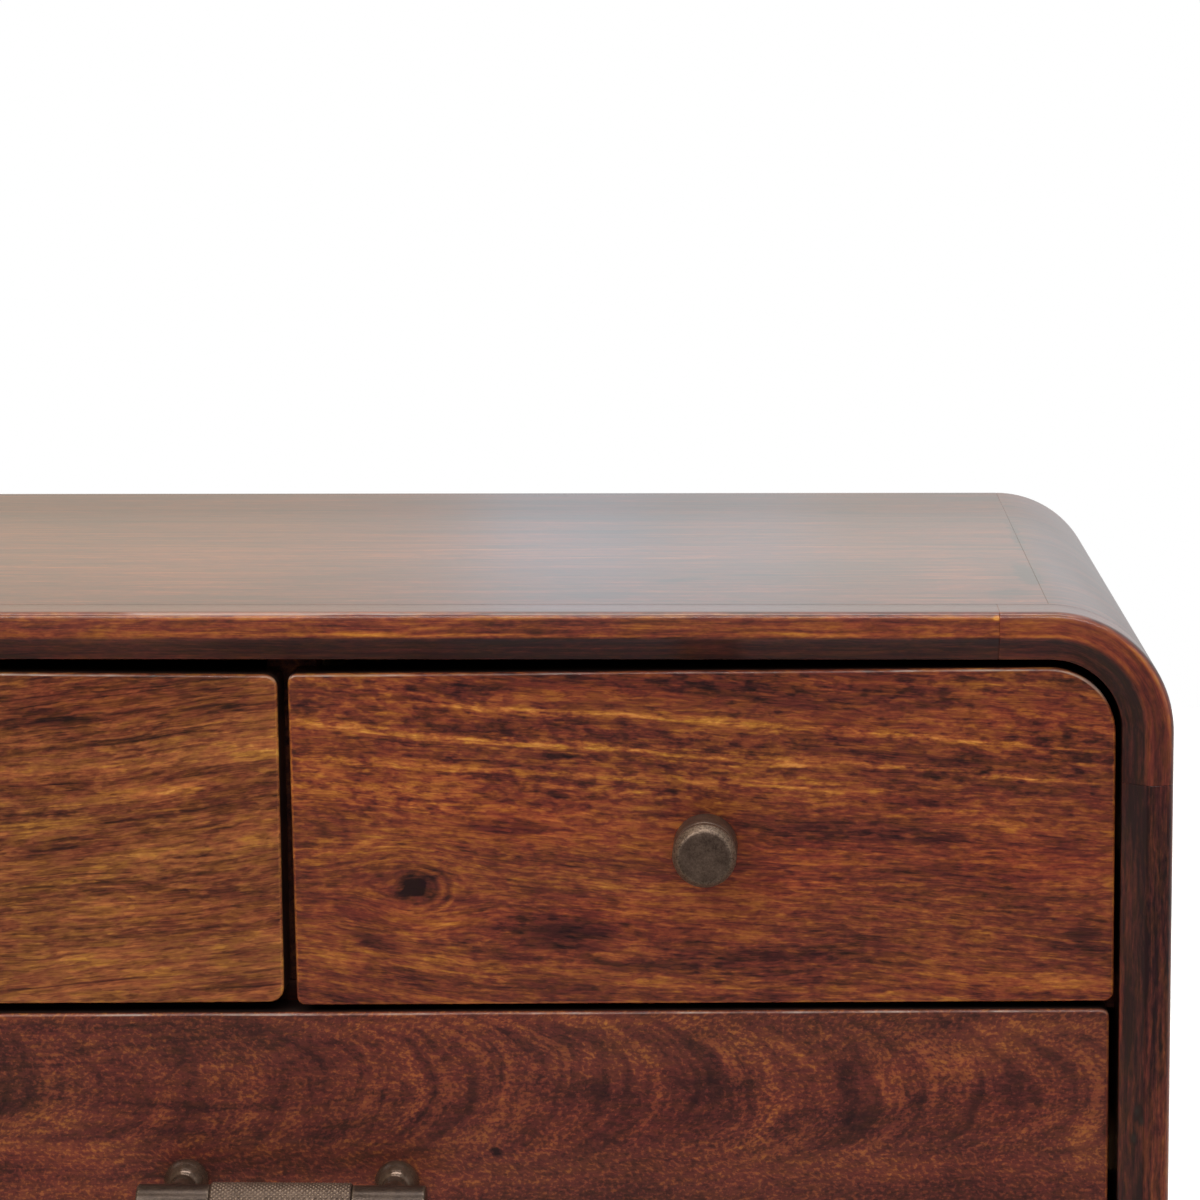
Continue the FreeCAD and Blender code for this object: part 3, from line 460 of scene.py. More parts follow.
    # thin lighter line where the stain wears thin on the eased edges
    ny = g.facing((0.0, -1.0, 0.0))
    eased_edge = g.step(ny, 0.985, 0.86) * g.step(ny, 0.10, 0.55)
    tone = tone + eased_edge * 0.14
    # painted highlight: a pale line on the upward-facing rounding of the top edges, broken up by patch noise
    nz = g.facing((0.0, 0.0, 1.0))
    wear_and_highlight = g.step(g.noise(P, (1 / 26, 1 / 30, 1 / 30), (3.0, 1.0, 8.0), 3.0, 0.6), 0.42, 0.62, 0.12, 1.0)
    pale = g.step(nz, 0.22, 0.45) * g.step(nz, 0.86, 0.62) * wear_and_highlight * 0.42
    ramp = {"plain": HONEY, "flame": PLUM}.get(kind, CHESTNUT)
    # the side walls of the drawer front, facing into the gaps, are painted almost black as painted shade
    return stained(g, P, fig, tone, ramp=ramp, coat=0.42, coat_rough=0.09, spec=0.20, pale=pale, rich=0.35 if kind == "flame" else 0.6, rosy=rosy,
                   gap_shade_and_knot=g.step(ny, 0.24, 0.06) * g.step(ny, -0.30, -0.10) * 0.92)


def frame_wood():
    """Front frame: grain runs along each piece, golden along the ridge and the rim where the stain wears thin and, on
    the rails, as painted highlight; dark on the bevel.
    """
    g = Graph("stained_wood_frame")
    P = g.attr("grain")
    s, u, v = g.xyz(P)
    p = g.object_mm()
    ox, oy, oz = g.xyz(p)
    Q = g.vec(ox, oz, oy * 0.0)
    fig = figure(g, P, 3, wave=1.6, ripple=0.7, cloud=0.42, band=0.75, streak=0.75, fleck=0.55, fibre=0.4, dark=0.08, crisp=0.06)
    e = g.attr("edge")
    eu, ev, tint = g.xyz(e)
    far = g.step(tint, -0.18, -0.02)
    # on the upright pieces the dark of the bevel runs out unevenly
    ragged = g.noise(P, (1 / 38, 1 / 5.0, 1 / 5.0), (7.0, 2.0, 5.0), 3.0, 0.6)
    stain = g.noise(P, (1 / 24, 1 / 3.4, 1 / 3.4), (3.0, 8.0, 1.0), 3.0, 0.62)
    band = g.step(eu + (ragged - 0.5) * 12.0 * (1.0 - far), 9.0, 7.4)
    tone = fig["tone"] * (band * 0.25 + 0.75) + (band * 0.26 + 0.11)
    tone = tone + (1.0 - band) * (1.0 - far) * ((stain - 0.5) * 0.80 + 0.17)
    jitter = (fig["streak"] - 0.5) * 2.2
    # ridge, rim and outer-edge lines: lighter where the stain wears thin, and on the horizontal rails the ridge and rim
    # lines are also a painted highlight
    ridge = g.step(g.m("ABSOLUTE", eu - 7.2 + jitter), 1.3, 0.1)
    rim = g.step(g.m("ABSOLUTE", eu - 1.7 + jitter * 0.5), 1.2, 0.1) * g.step(ev, 6.0, 3.0)
    patch = g.step(g.noise(P, (1 / 60, 1 / 6, 1 / 6), (4.0, 9.0, 2.0), 2.0), 0.36, 0.60)
    outer = g.step(eu + jitter * 0.3, 1.1, 0.2) * g.step(ev, 7.0, 4.0) * (1.0 - far)
    tone = tone + (ridge * 0.30 + rim * 0.34) * patch * far + outer * 0.32 + tint
    bend = g.step(ox, 222.0, 234.0) * g.step(oz, 486.0, 520.0)
    ny = g.facing((0.0, -1.0, 0.0))
    nz = g.facing((0.0, 0.0, 1.0))
    gilt = bend * g.step(ny, 0.45, 0.85) * band
    tone = tone + gilt * (g.step(eu + jitter * 0.5, 7.0, 0.8) * 0.13 + 0.01) - fig["tone"] * gilt * 0.35
    # painted highlight: a pale line on the upward-facing rounding of the top rail's upper edge, strongest on the left
    lip = g.step(ox, -60.0, 215.0, 0.7, 0.1) * g.step(oz, 540.0, 556.0)
    pale = lip * g.step(nz, 0.50, 0.70) * g.step(nz, 0.97, 0.86) * g.step(patch, 0.15, 0.8) * 0.45
    for mark in ((268.0, 401.0, 2.2, 4.4, 0.0, -0.40), (266.6, 392.9, 1.8, 3.0, 0.0, -0.36), (222.4, 558.2, 1.8, 1.3, 10.0, 0.55)):
        tone = tone + g.spot(Q, *mark)
    level = g.step(nz, 0.90, 0.985)
    tone = tone + (fig["tone"] * 0.35 + 0.27 - tone) * level
    # painted shade: the inner walls of the frame facing the drawers are painted almost black; the spots below are the
    # dark knot on the right stile
    gap_shade_and_knot = g.step(eu, T - 1.5, T - 0.3) * g.step(ev, 7.0, 9.5) * 0.92
    for mark in ((267.2, 402.2, 1.3, 2.4, 0.0, 0.85), (268.8, 399.2, 1.3, 2.2, 0.0, 0.85), (266.4, 393.1, 1.2, 2.1, 0.0, 0.9)):
        gap_shade_and_knot = gap_shade_and_knot + g.spot(Q, *mark) * g.step(ny, 0.2, 0.4)
    return stained(g, P, fig, tone, rough=0.33, coat=0.85, coat_rough=0.19, pale=pale, gap_shade_and_knot=gap_shade_and_knot)


def shell_wood():
    """Top, sides, bottom and their curved blocks: grain runs round the cabinet, boards glued side by side."""
    g = Graph("stained_wood_shell")
    P = g.attr("grain")
    s, d, u = g.xyz(P)
    e = g.attr("edge")
    eu, ev, tint = g.xyz(e)
    p = g.object_mm()
    ox, oy, oz = g.xyz(p)
    fig = figure(g, P, 5, wave=4.0, ripple=1.2, cloud=0.75, band=0.50, streak=0.42, fleck=0.50, fibre=0.26, dark=0.05, crisp=0.05)
    # glue lines between the boards of the panel
    board = g.m("FLOOR", (ev - 24.0) * (1 / 112.0))
    shade = g.m("FRACT", g.m("SINE", board * 12.9898 + tint * 78.2) * 43758.5)
    line = g.step(g.m("ABSOLUTE", g.m("FRACT", (ev - 24.0) * (1 / 112.0)) - 0.5), 0.4965, 0.4990)
    up = g.step(g.facing((0.0, 0.0, 1.0)), 0.35, 0.92)
    blotch = g.noise(P, (1 / 62, 1 / 52, 1 / 52), (8.0, 3.0, 5.0), 3.0, 0.55)
    long = g.noise(fig["W"], (1 / 260, 1 / 5.0, 1 / 5.0), (5.0, 1.0, 8.0), 3.0, 0.6)
    tone = fig["tone"] - up * ((fig["band"] - 0.5) * 0.10 + (fig["cloud"] - 0.5) * 0.45)
    tone = tone + (blotch - 0.5) * 0.22 + up * ((fig["fibre"] - 0.5) * 0.6 + (fig["streak"] - 0.5) * 0.35 + (long - 0.5) * 0.55)
    tone = tone + ((shade - 0.5) * 0.10 + 0.35) - up * 0.05 + tint - line * 0.34
    # dark smudges where the curved block meets the top, and a scuff near the front edge
    T2 = g.vec(ox, oy, oz * 0.0)
    Tw = g.vm("MULTIPLY_ADD", fig["warp"], (5.0, 9.0, 0.0), g.vm("ADD", T2, (-2.5, -4.5, 0.0)))
    ragged = g.step(g.noise(p, (1 / 9.0, 1 / 7.0, 1.0), (2.0, 6.0, 0.0), 3.0, 0.6), 0.40, 0.60, 0.25, 1.35)
    smudge = (g.spot(Tw, 237.0, -66.0, 5.0, 40.0, 2.0, 0.80) + g.spot(Tw, 239.2, 45.0, 2.4, 66.0, 0.0, 0.62)
              + g.spot(Tw, 228.0, -118.0, 9.0, 20.0, 0.0, 0.36)) * ragged
    for mark in ((122.0, -83.0, 16.0, 7.0, 40.0, 0.40), (147.0, -70.0, 15.0, 5.0, 0.0, 0.34), (222.0, -24.0, 20.0, 1.6, 0.0, 0.42),
                 (214.0, -143.5, 12.0, 2.6, 0.0, 0.34), (98.0, 66.0, 34.0, 95.0, 0.0, 0.16), (98.0, -120.0, 26.0, 14.0, 0.0, 0.16),
                 (178.0, 118.0, 12.0, 8.0, 0.0, 0.22), (60.0, 10.0, 22.0, 6.0, 0.0, 0.26)):
        smudge = smudge + g.spot(Tw, *mark)
    for mark in ((214.0, -60.0, 22.0, 70.0, 0.0, -0.16), (-60.0, -60.0, 80.0, 90.0, 0.0, -0.14)):
        smudge = smudge + g.spot(Tw, *mark)
    tone = tone - smudge * up
    edge_front = g.step(ev, 21.2, 20.1)
    tone = tone - edge_front * 0.2 * (1.0 - up)
    return stained(g, P, fig, tone, rough=0.32, coat=0.85, coat_rough=0.19, spec=0.25, bump=0.30, vary=0.4)


def plain_stain(name, order, seed, base, rough=0.42, coat=0.12, bump=1.0, **kw):
    """Stained wood on a board that lies along the axes. order: which axes run along, across and into the grain."""
    g = Graph(name)
    xyz = g.xyz(g.object_mm())
    P = g.vec(*[xyz["xyz".index(a)] for a in order])
    fig = figure(g, P, seed, **kw)
    return stained(g, P, fig, fig["tone"] + base, rough=rough, coat=coat, bump=bump)


def attr_stain(name, seed, base, **kw):
    g = Graph(name)
    P = g.attr("grain")
    fig = figure(g, P, seed, **kw)
    e = g.attr("edge")
    eu, ev, tint = g.xyz(e)
    return stained(g, P, fig, fig["tone"] + base + tint, rough=0.36)


def bare_wood(name, order, seed, base=0.55, stain_front=False, **kw):
    """Sanded pale hardwood of the drawer boxes and inner boards, the front edges wiped with stain."""
    g = Graph(name)
    xyz = g.xyz(g.object_mm())
    P = g.vec(*[xyz["xyz".index(a)] for a in order])
    kw = dict(dict(wave=4.0, ripple=0.9, cloud=0.45, band=0.8, streak=0.7, fleck=0.35, fibre=0.45), **kw)
    fig = figure(g, P, seed, **kw)
    col = g.ramp(fig["tone"] + base, PALE)
    pore = g.step(fig["fibre"], 0.60, 0.74)
    col = g.mix(pore * 0.35, col, (0.55, 0.46, 0.38, 1.0), "MULTIPLY")
    grime = g.step(g.noise(P, (1 / 55, 1 / 40, 1 / 40), (2.0, 7.0, 1.0), 2.0), 0.52, 0.72)
    col = g.mix(grime * 0.22, col, (0.72, 0.60, 0.48, 1.0), "MULTIPLY")
    if stain_front:
        dark = g.ramp(fig["tone"] + 0.34, CHESTNUT)
        wipe = g.step(xyz[1] + (fig["cloud"] - 0.5) * 26.0 + (fig["streak"] - 0.5) * 14.0, -112.0, -119.0)
        col = g.mix(wipe, col, dark)
    r = (fig["fleck"] - 0.5) * 0.12 + 0.58
    nrm = g.bump(fig["fibre"] * 0.8 + fig["streak"] * 0.6, 0.35, 0.0002)
    return g.surface(col, r, nrm, spec=0.35)


# ------------------------------------------------------------------ metal, steel, nylon
def bronze(name, wear_and_highlight, seed, rough=0.46, tone=1.0, grain=True, dome=False):
    """Antique bronze: brown patina, mottled, rubbed bright on edges. worn: a function giving the rubbed share."""
    g = Graph(name)
    p = g.object_mm()
    o = (seed * 13.7, seed * 5.1, seed * 9.3)
    cloud = g.noise(p, (0.22, 0.22, 0.22), o, 3.0, 0.6)
    fine = g.noise(p, (1.6, 1.6, 1.6), o, 3.0, 0.65)
    speck = g.noise(p, (4.5, 4.5, 4.5), o, 2.0, 0.6)
    t = (cloud - 0.5) * 0.9 + (fine - 0.5) * 0.8 + (speck - 0.5) * 0.35 + 0.45
    k = tone
    col = g.ramp(t, [(0.0, (0.046 * k, 0.028 * k, 0.021 * k, 1)), (0.35, (0.104 * k, 0.066 * k, 0.048 * k, 1)),
                     (0.62, (0.164 * k, 0.108 * k, 0.079 * k, 1)), (1.0, (0.255 * k, 0.176 * k, 0.124 * k, 1))])
    rub = wear_and_highlight(g, p, fine, speck)
    col = g.mix(rub, col, (0.45 * k, 0.325 * k, 0.22 * k, 1.0))
    scratch = g.noise(p, (0.5, 0.5, 9.0), o, 1.0)
    r = (fine - 0.5) * (0.30 if grain else 0.14) + (cloud - 0.5) * 0.2 + rough - rub * 0.12
    if dome:
        # the round feet against the drawer front are polished smoother than the sleeves; their colour is painted about
        # twice as bright, a painted reflection
        foot = g.step(g.xyz(p)[1], -172.5, -170.0)
        r = r - foot * 0.20
        col = g.mix(foot, col, g.mix(1.0, col, (2.1, 2.05, 1.9, 1.0), "MULTIPLY"))
    h = fine * 0.6 + speck * 0.5 + g.step(scratch, 0.62, 0.70) * 0.35
    return g.surface(col, r, g.bump(h, 0.45 if grain else 0.16, 0.00010), metallic=0.62)


def knob_worn(cx):
    def wear_and_highlight(g, p, fine, speck):
        q = g.vm("SUBTRACT", p, (cx, Y_DF, KNOB_Z))
        x, y, z = g.xyz(q)
        rad = g.m("SQRT", x * x + z * z)
        rim = g.step(y, -17.6, -18.7) * g.step(rad, 7.3, 8.6) * g.step(rad, 10.6, 9.6)
        lip = g.step(g.m("ABSOLUTE", y + 16.4), 0.8, 0.1)
        return (rim * 0.36 + lip * 0.16) * g.step(fine, 0.36, 0.60)
    return wear_and_highlight


def sleeve_worn(g, p, fine, speck):
    x, y, z = g.xyz(p)
    ends = g.step(g.m("ABSOLUTE", g.m("ABSOLUTE", x) - 44.9), 0.9, 0.1)
    ends = ends + g.step(g.m("ABSOLUTE", g.m("ABSOLUTE", x) - 22.6), 0.9, 0.1)
    bar = g.step(y, -178.0, -183.0)
    return (ends * 0.5 + bar * 0.08) * g.step(fine, 0.38, 0.62)


def grip_worn(g, p, fine, speck):
    x, y, z = g.xyz(g.vm("SUBTRACT", p, (0.0, Y_BAR, PULL_Z)))
    rad = g.m("SQRT", y * y + z * z)
    return g.step(rad, 6.52, 6.80) * 0.75 * g.step(fine, 0.28, 0.55)


def steel():
    g = Graph("screw_steel")
    p = g.object_mm()
    fine = g.noise(p, (1.2, 1.2, 1.2), (3, 1, 4), 3.0, 0.6)
    turn = g.noise(p, (2.0, 9.0, 2.0), (9, 2, 6), 1.0)
    col = g.ramp((fine - 0.5) * 1.4 + 0.5, [(0.0, (0.30, 0.28, 0.24, 1)), (0.5, (0.52, 0.50, 0.45, 1)), (1.0, (0.66, 0.65, 0.62, 1))])
    r = (fine - 0.5) * 0.35 + 0.36
    return g.surface(col, r, g.bump(turn + fine * 0.6, 0.25, 0.00008), metallic=1.0)


def nylon():
    g = Graph("glide_nylon")
    p = g.object_mm()
    fine = g.noise(p, (1.8, 1.8, 1.8), (5, 5, 1), 3.0, 0.6)
    scuff = g.step(g.noise(p, (0.35, 0.35, 2.0), (1, 7, 3), 2.0), 0.5, 0.7)
    col = g.mix(scuff * 0.6, (0.016, 0.013, 0.011, 1.0), (0.060, 0.052, 0.045, 1.0))
    return g.surface(col, (fine - 0.5) * 0.3 + 0.55, g.bump(fine, 0.3, 0.0001), spec=0.4)


# ------------------------------------------------------------------ mesh helpers
def make(name, verts, faces, smooth=32.0):
    me = bpy.data.meshes.new(name)
    me.from_pydata([(a * MM, b * MM, c * MM) for a, b, c in verts], [], faces)
    bm = bmesh.new()
    bm.from_mesh(me)
    bmesh.ops.recalc_face_normals(bm, faces=bm.faces)
    bm.to_mesh(me)
    bm.free()
    me.polygons.foreach_set("use_smooth", [True] * len(me.polygons))
    me.set_sharp_from_angle(angle=math.radians(smooth))
    ob = bpy.data.objects.new(name, me)
    scene.collection.objects.link(ob)
    return ob


def note(ob, name, vecs):
    a = ob.data.attributes.new(name, "FLOAT_VECTOR", "POINT")
    a.data.foreach_set("vector", np.array(vecs, np.float32).ravel())


def done(ob, node, body, mat):
    """The piece stands for its construction node, moves with its body and takes its finish."""
    ob.data.materials.clear()
    ob.data.materials.append(mat)
    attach(ob, body)
    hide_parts(node)


def rounded_poly(points, steps=5):
    """Closed polygon of (u, v, r) points with its corners rounded by r."""
    n = len(points)
    out = []
    for i in range(n):
        x, y, r = points[i]
        c = Vector((x, y))
        a = (Vector(points[i - 1][:2]) - c).normalized()
        b = (Vector(points[(i + 1) % n][:2]) - c).normalized()
        if r <= 0:
            out.append(c)
            continue
        half = math.acos(max(-1, min(1, a.dot(b)))) / 2
        t = r / math.tan(half)
        bis = (a + b).normalized()
        o = c + bis * (r / math.sin(half))
        p, q = c + a * t - o, c + b * t - o
        a0, a1 = math.atan2(p.y, p.x), math.atan2(q.y, q.x)
        d = (a1 - a0 + math.pi) % (2 * math.pi) - math.pi
        k = max(2, steps)
        for j in range(k + 1):
            w = a0 + d * j / k
            out.append(o + Vector((math.cos(w), math.sin(w))) * r)
    return [(p.x, p.y) for p in out]


def inward(poly):
    """Unit normals of a closed polygon, to its inside."""
    n = len(poly)
    area = sum(poly[i - 1][0] * poly[i][1] - poly[i][0] * poly[i - 1][1] for i in range(n))
    s = 1.0 if area > 0 else -1.0
    out = []
    for i in range(n):
        a, b, c = Vector(poly[i - 1]), Vector(poly[i]), Vector(poly[(i + 1) % n])
        e1, e2 = (b - a), (c - b)
        n1 = Vector((-e1.y, e1.x)).normalized() * s if e1.length > 1e-9 else Vector((0, 0))
        n2 = Vector((-e2.y, e2.x)).normalized() * s if e2.length > 1e-9 else Vector((0, 0))
        m = n1 + n2
        if m.length < 1e-9:
            m = n1
        m.normalize()
        k = max(0.5, m.dot(n1))
        out.append(m / k)
    return out


def sweep(name, profile, path, seed, cap, tint, wob=0.0, swap=False):
    """Profile (u inwards, v to the back) carried along path stations (s, x, z, nx, nz). Grain follows the path."""
    t0, t1 = tint if isinstance(tint, tuple) else (tint, tint)
    s0, s1 = path[0][0], path[-1][0]

    def shade(s):
        f = max(0.0, min(1.0, (s - s0) / (s1 - s0)))
        return t0 + (t1 - t0) * f * f * (3 - 2 * f)

    nor = inward(profile)
    small = [(p[0] + n.x * cap, p[1] + n.y * cap) for p, n in zip(profile, nor)]
    def shifted(a, b, d):
        l = math.hypot(b[1] - a[1], b[2] - a[2])
        f = d / l
        return tuple(p + (q - p) * f for p, q in zip(a, b))
    rows = [(path[0], small), (shifted(path[0], path[1], cap), profile)]
    rows += [(st, profile) for st in path[1:-1]]
    rows += [(shifted(path[-1], path[-2], cap), profile), (path[-1], small)]
    n = len(profile)
    verts, grain, edge, faces = [], [], [], []
    for st, prof in rows:
        s, x, z, nx, nz = st
        for (u, v) in prof:
            dv = 0.0
            if wob and v < 8.0:
                dv = wob * (0.5 + 0.5 * noise.noise((s / 37.0, seed * 3.7, u / 6.0)))
            verts.append((x + u * nx, Y_FRONT + v + dv, z + u * nz))
            grain.append((s + seed * 811.0, v + seed * 97.0, u) if swap else (s + seed * 811.0, u + seed * 61.0, v))
            edge.append((u, v, shade(s)))
    for i in range(len(rows) - 1):
        for j in range(n):
            k = (j + 1) % n
            faces.append((i * n + j, i * n + k, (i + 1) * n + k, (i + 1) * n + j))
    faces.append(tuple(range(n)))
    faces.append(tuple((len(rows) - 1) * n + j for j in range(n)))
    ob = make(name, verts, faces, 28.0)
    note(ob, "grain", grain)
    note(ob, "edge", edge)
    return ob


def run(a, b, step):
    k = max(1, int(round(abs(b - a) / step)))
    return [a + (b - a) * i / k for i in range(k + 1)]


def path_top(x0, x1, step):
    return [(x, x, Z_TOP, 0.0, -1.0) for x in run(x0, x1, step)]


def path_side(z0, z1, step):
    return [(FLAT + 60.0 + z0 - z, HALF_W, z, -1.0, 0.0) for z in run(z0, z1, step)]


def path_corner(ext, steps):
    st = []
    if ext:
        st += [(x, x, Z_TOP, 0.0, -1.0) for x in run(FLAT - ext, FLAT, 5.0)[:-1]]
    for i in range(steps + 1):
        a = math.pi / 2 * (1 - i / steps)
        c, s = math.cos(a), math.sin(a)
        st.append((FLAT + R_OUT * (math.pi / 2 - a), FLAT + R_OUT * c, Z_TOP - R_OUT + R_OUT * s, -c, -s))
    if ext:
        s0 = st[-1][0]
        st += [(s0 + d, HALF_W, Z_TOP - R_OUT - d, -1.0, 0.0) for d in run(0, ext, 5.0)[1:]]
    return st


def flip(path, sx, sz):
    return [(s, x * sx, Z_MID + (z - Z_MID) * sz, nx * sx, nz * sz) for s, x, z, nx, nz in path]


# ------------------------------------------------------------------ front frame and shell
FRAME_PROFILE = rounded_poly([(0.0, 20.0, 0.3), (0.0, 1.12, 2.6), (8.0, 0.0, 1.6), (T, 7.0, 1.0), (T, 20.0, 0.3)], 6)
SHELL_PROFILE = rounded_poly([(0.0, 20.0, 0.3), (0.0, 350.0, 1.6), (T - 7.0, 350.0, 0.6), (T - 7.0, 343.0, 0.0),
                              (T, 343.0, 0.4), (T, 20.0, 0.3)], 5)
m_frame, m_shell = frame_wood(), shell_wood()

frame_pieces = [
    ("frame_top_rail", path_top(-RAIL_END, RAIL_END, 7.0), 1, 1, 1, 0.02),
    ("frame_bottom_rail", path_top(-RAIL_END, RAIL_END, 7.0), 1, -1, 2, 0.0),
    ("frame_right_stile", path_side(Z_TOP - R_OUT - EXT, Z_BOT + R_OUT + EXT, 7.0), 1, 1, 3, -0.20),
    ("frame_left_stile", path_side(Z_TOP - R_OUT - EXT, Z_BOT + R_OUT + EXT, 7.0), -1, 1, 4, -0.16),
    ("frame_top_right_corner", path_corner(EXT, 26), 1, 1, 5, (0.06, -0.12)),
    ("frame_top_left_corner", path_corner(EXT, 26), -1, 1, 6, (0.02, -0.14)),
    ("frame_bottom_right_corner", path_corner(EXT, 26), 1, -1, 7, (-0.03, -0.18)),
    ("frame_bottom_left_corner", path_corner(EXT, 26), -1, -1, 8, (0.0, -0.12)),
]
for node, path, sx, sz, seed, tint in frame_pieces:
    ob = sweep(node + "_wood", FRAME_PROFILE, flip(path, sx, sz), seed, 0.16, tint, wob=0.22)
    done(ob, node, "cabinet", m_frame)

shell_pieces = [
    ("top_panel", path_top(-FLAT, FLAT, 60.0), 1, 1, 11, 0.0),
    ("bottom_panel", path_top(-FLAT, FLAT, 60.0), 1, -1, 12, -0.03),
    ("right_side_panel", path_side(522.0, 344.0, 60.0), 1, 1, 13, 0.0),
    ("left_side_panel", path_side(522.0, 344.0, 60.0), -1, 1, 14, 0.02),
    ("top_right_corner_block", path_corner(0.0, 28), 1, 1, 15, -0.03),
    ("top_left_corner_block", path_corner(0.0, 28), -1, 1, 16, -0.02),
    ("bottom_right_corner_block", path_corner(0.0, 28), 1, -1, 17, 0.0),
    ("bottom_left_corner_block", path_corner(0.0, 28), -1, -1, 18, 0.02),
]
for node, path, sx, sz, seed, tint in shell_pieces:
    ob = sweep(node + "_wood", SHELL_PROFILE, flip(path, sx, sz), seed, 0.14, tint, swap=True)
    done(ob, node, "cabinet", m_shell)


# ------------------------------------------------------------------ drawer fronts
def outline(points):
    """Rounded outline of a drawer front, with points along the straight edges too."""
    base = rounded_poly(points, 6)
    big = []
    n = len(points)
    poly = []
    for i in range(n):
        steps = 16 if points[i][2] > 10 else 6
        part = rounded_poly(points, steps)
        per = steps + 1
        poly += part[i * per:(i + 1) * per]
    for i in range(len(poly)):
        a, b = Vector(poly[i]), Vector(poly[(i + 1) % len(poly)])
        k = max(1, int((b - a).length / 9.0))
        for j in range(k):
            p = a.lerp(b, j / k)
            big.append((p.x, p.y))
    return big


def drawer_front(name, points, seed):
    poly = outline(points)
    n = len(poly)
    nor = inward(poly)
    rad, wav = [], []
    for (x, z) in poly:
        rad.append(1.35 + 0.25 * noise.noise((x / 31.0, z / 31.0, seed * 2.3)))
        wav.append(0.06 + 0.06 * noise.noise((x / 55.0, z / 55.0, seed * 5.1 + 9.0)))
    rows = [[(w + 0.5, Y_DB) for w in wav], [(w, Y_DB - 0.5) for w in wav]]
    K = 7
    for k in range(K + 1):
        a = math.pi / 2 * k / K
        rows.append([(w + r * (1 - math.cos(a)), Y_DF + r * (1 - math.sin(a))) for w, r in zip(wav, rad)])
    rows.append([(w + r + 0.5, Y_DF) for w, r in zip(wav, rad)])
    verts, faces = [], []
    for row in rows:
        for (x, z), m, (d, y) in zip(poly, nor, row):
            verts.append((x + m.x * d, y, z + m.y * d))
    for i in range(len(rows) - 1):
        for j in range(n):
            k = (j + 1) % n
            faces.append((i * n + j, i * n + k, (i + 1) * n + k, (i + 1) * n + j))
    faces.append(tuple(range(n)))
    faces.append(tuple((len(rows) - 1) * n + j for j in range(n)))
    return make(name, verts, faces, 40.0)


right_points = [(1.0, 539.6, 2.8), (2.4, 433.2, 2.8), (260.2, 435.7, 3.2), (260.0, 541.9, 21.0)]
left_points = [(-2.1, 539.4, 4.2), (-260.0, 541.1, 21.0), (-260.1, 431.4, 3.2), (-1.5, 434.2, 4.8)]
lower_points = [(-259.0, 428.6, 2.8), (-259.0, 325.0, 21.0), (259.0, 325.0, 21.0), (258.9, 433.4, 2.8)]
for node, pts, body, mat in (
    ("right_drawer_front", right_points, "right_drawer", front_wood("stained_wood_right_front", 21, -3.4, RIGHT_MARKS, 0.445, "knot")),
    ("left_drawer_front", left_points, "left_drawer", front_wood("stained_wood_left_front", 22, 6.0, LEFT_MARKS, 0.49, "plain")),
    ("lower_drawer_front", lower_points, "lower_drawer", front_wood("stained_wood_lower_front", 23, 2.0, LOWER_MARKS, 0.34, "flame")),
):
    done(drawer_front(node + "_wood", pts, len(body)), node, body, mat)


# ------------------------------------------------------------------ turned pieces
def lathe(name, prof, origin, axis, segs, jitter=0.0, seed=0.0, smooth=32.0):
    """Turned solid: prof is (radius, height along axis); the ends close on the axis."""
    d = Vector(axis).normalized()
    e1 = d.orthogonal().normalized()
    e2 = d.cross(e1)
    o = Vector(origin)
    verts, faces, rings = [], [], []
    for r, h in prof:
        if r < 1e-6:
            rings.append([len(verts)])
            verts.append(tuple(o + d * h))
            continue
        ring = []
        for j in range(segs):
            a = 2 * math.pi * j / segs
            k = r + jitter * noise.noise((math.cos(a) * 2.2, math.sin(a) * 2.2, h * 0.8 + seed))
            ring.append(len(verts))
            verts.append(tuple(o + d * h + (e1 * math.cos(a) + e2 * math.sin(a)) * k))
        rings.append(ring)
    for a, b in zip(rings, rings[1:]):
        for j in range(segs):
            k = (j + 1) % segs
            if len(a) == 1:
                faces.append((a[0], b[j], b[k]))
            elif len(b) == 1:
                faces.append((a[j], a[k], b[0]))
            else:
                faces.append((a[j], a[k], b[k], b[j]))
    return make(name, verts, faces, smooth)


KNOB = [(0, 11.0), (2.1, 11.0), (2.1, 0), (9.45, 0), (9.85, 0.12), (10, 0.5), (10, 14.25), (9.9, 14.55), (9.5, 14.8), (9.3, 15.0), (9.3, 15.5),
        (9.5, 15.75), (9.88, 16.0), (10, 16.35), (10, 17.8), (9.93, 18.25), (9.7, 18.7), (8.75, 20.0), (8.45, 20.38),
        (8.05, 20.66), (7.4, 20.82), (5.5, 20.93), (2.5, 20.99), (0, 21.0)]
for node, x, body, seed in (("right_knob", KNOB_X, "right_drawer", 1.0), ("left_knob", -KNOB_X, "left_drawer", 2.0)):
    ob = lathe(node + "_metal", KNOB, (x, Y_DF, KNOB_Z), (0, -1, 0), 72, 0.05, seed * 7.0, 50.0)
    done(ob, node, body, bronze("antique_bronze_" + node, knob_worn(x), seed, 0.42, 0.90))

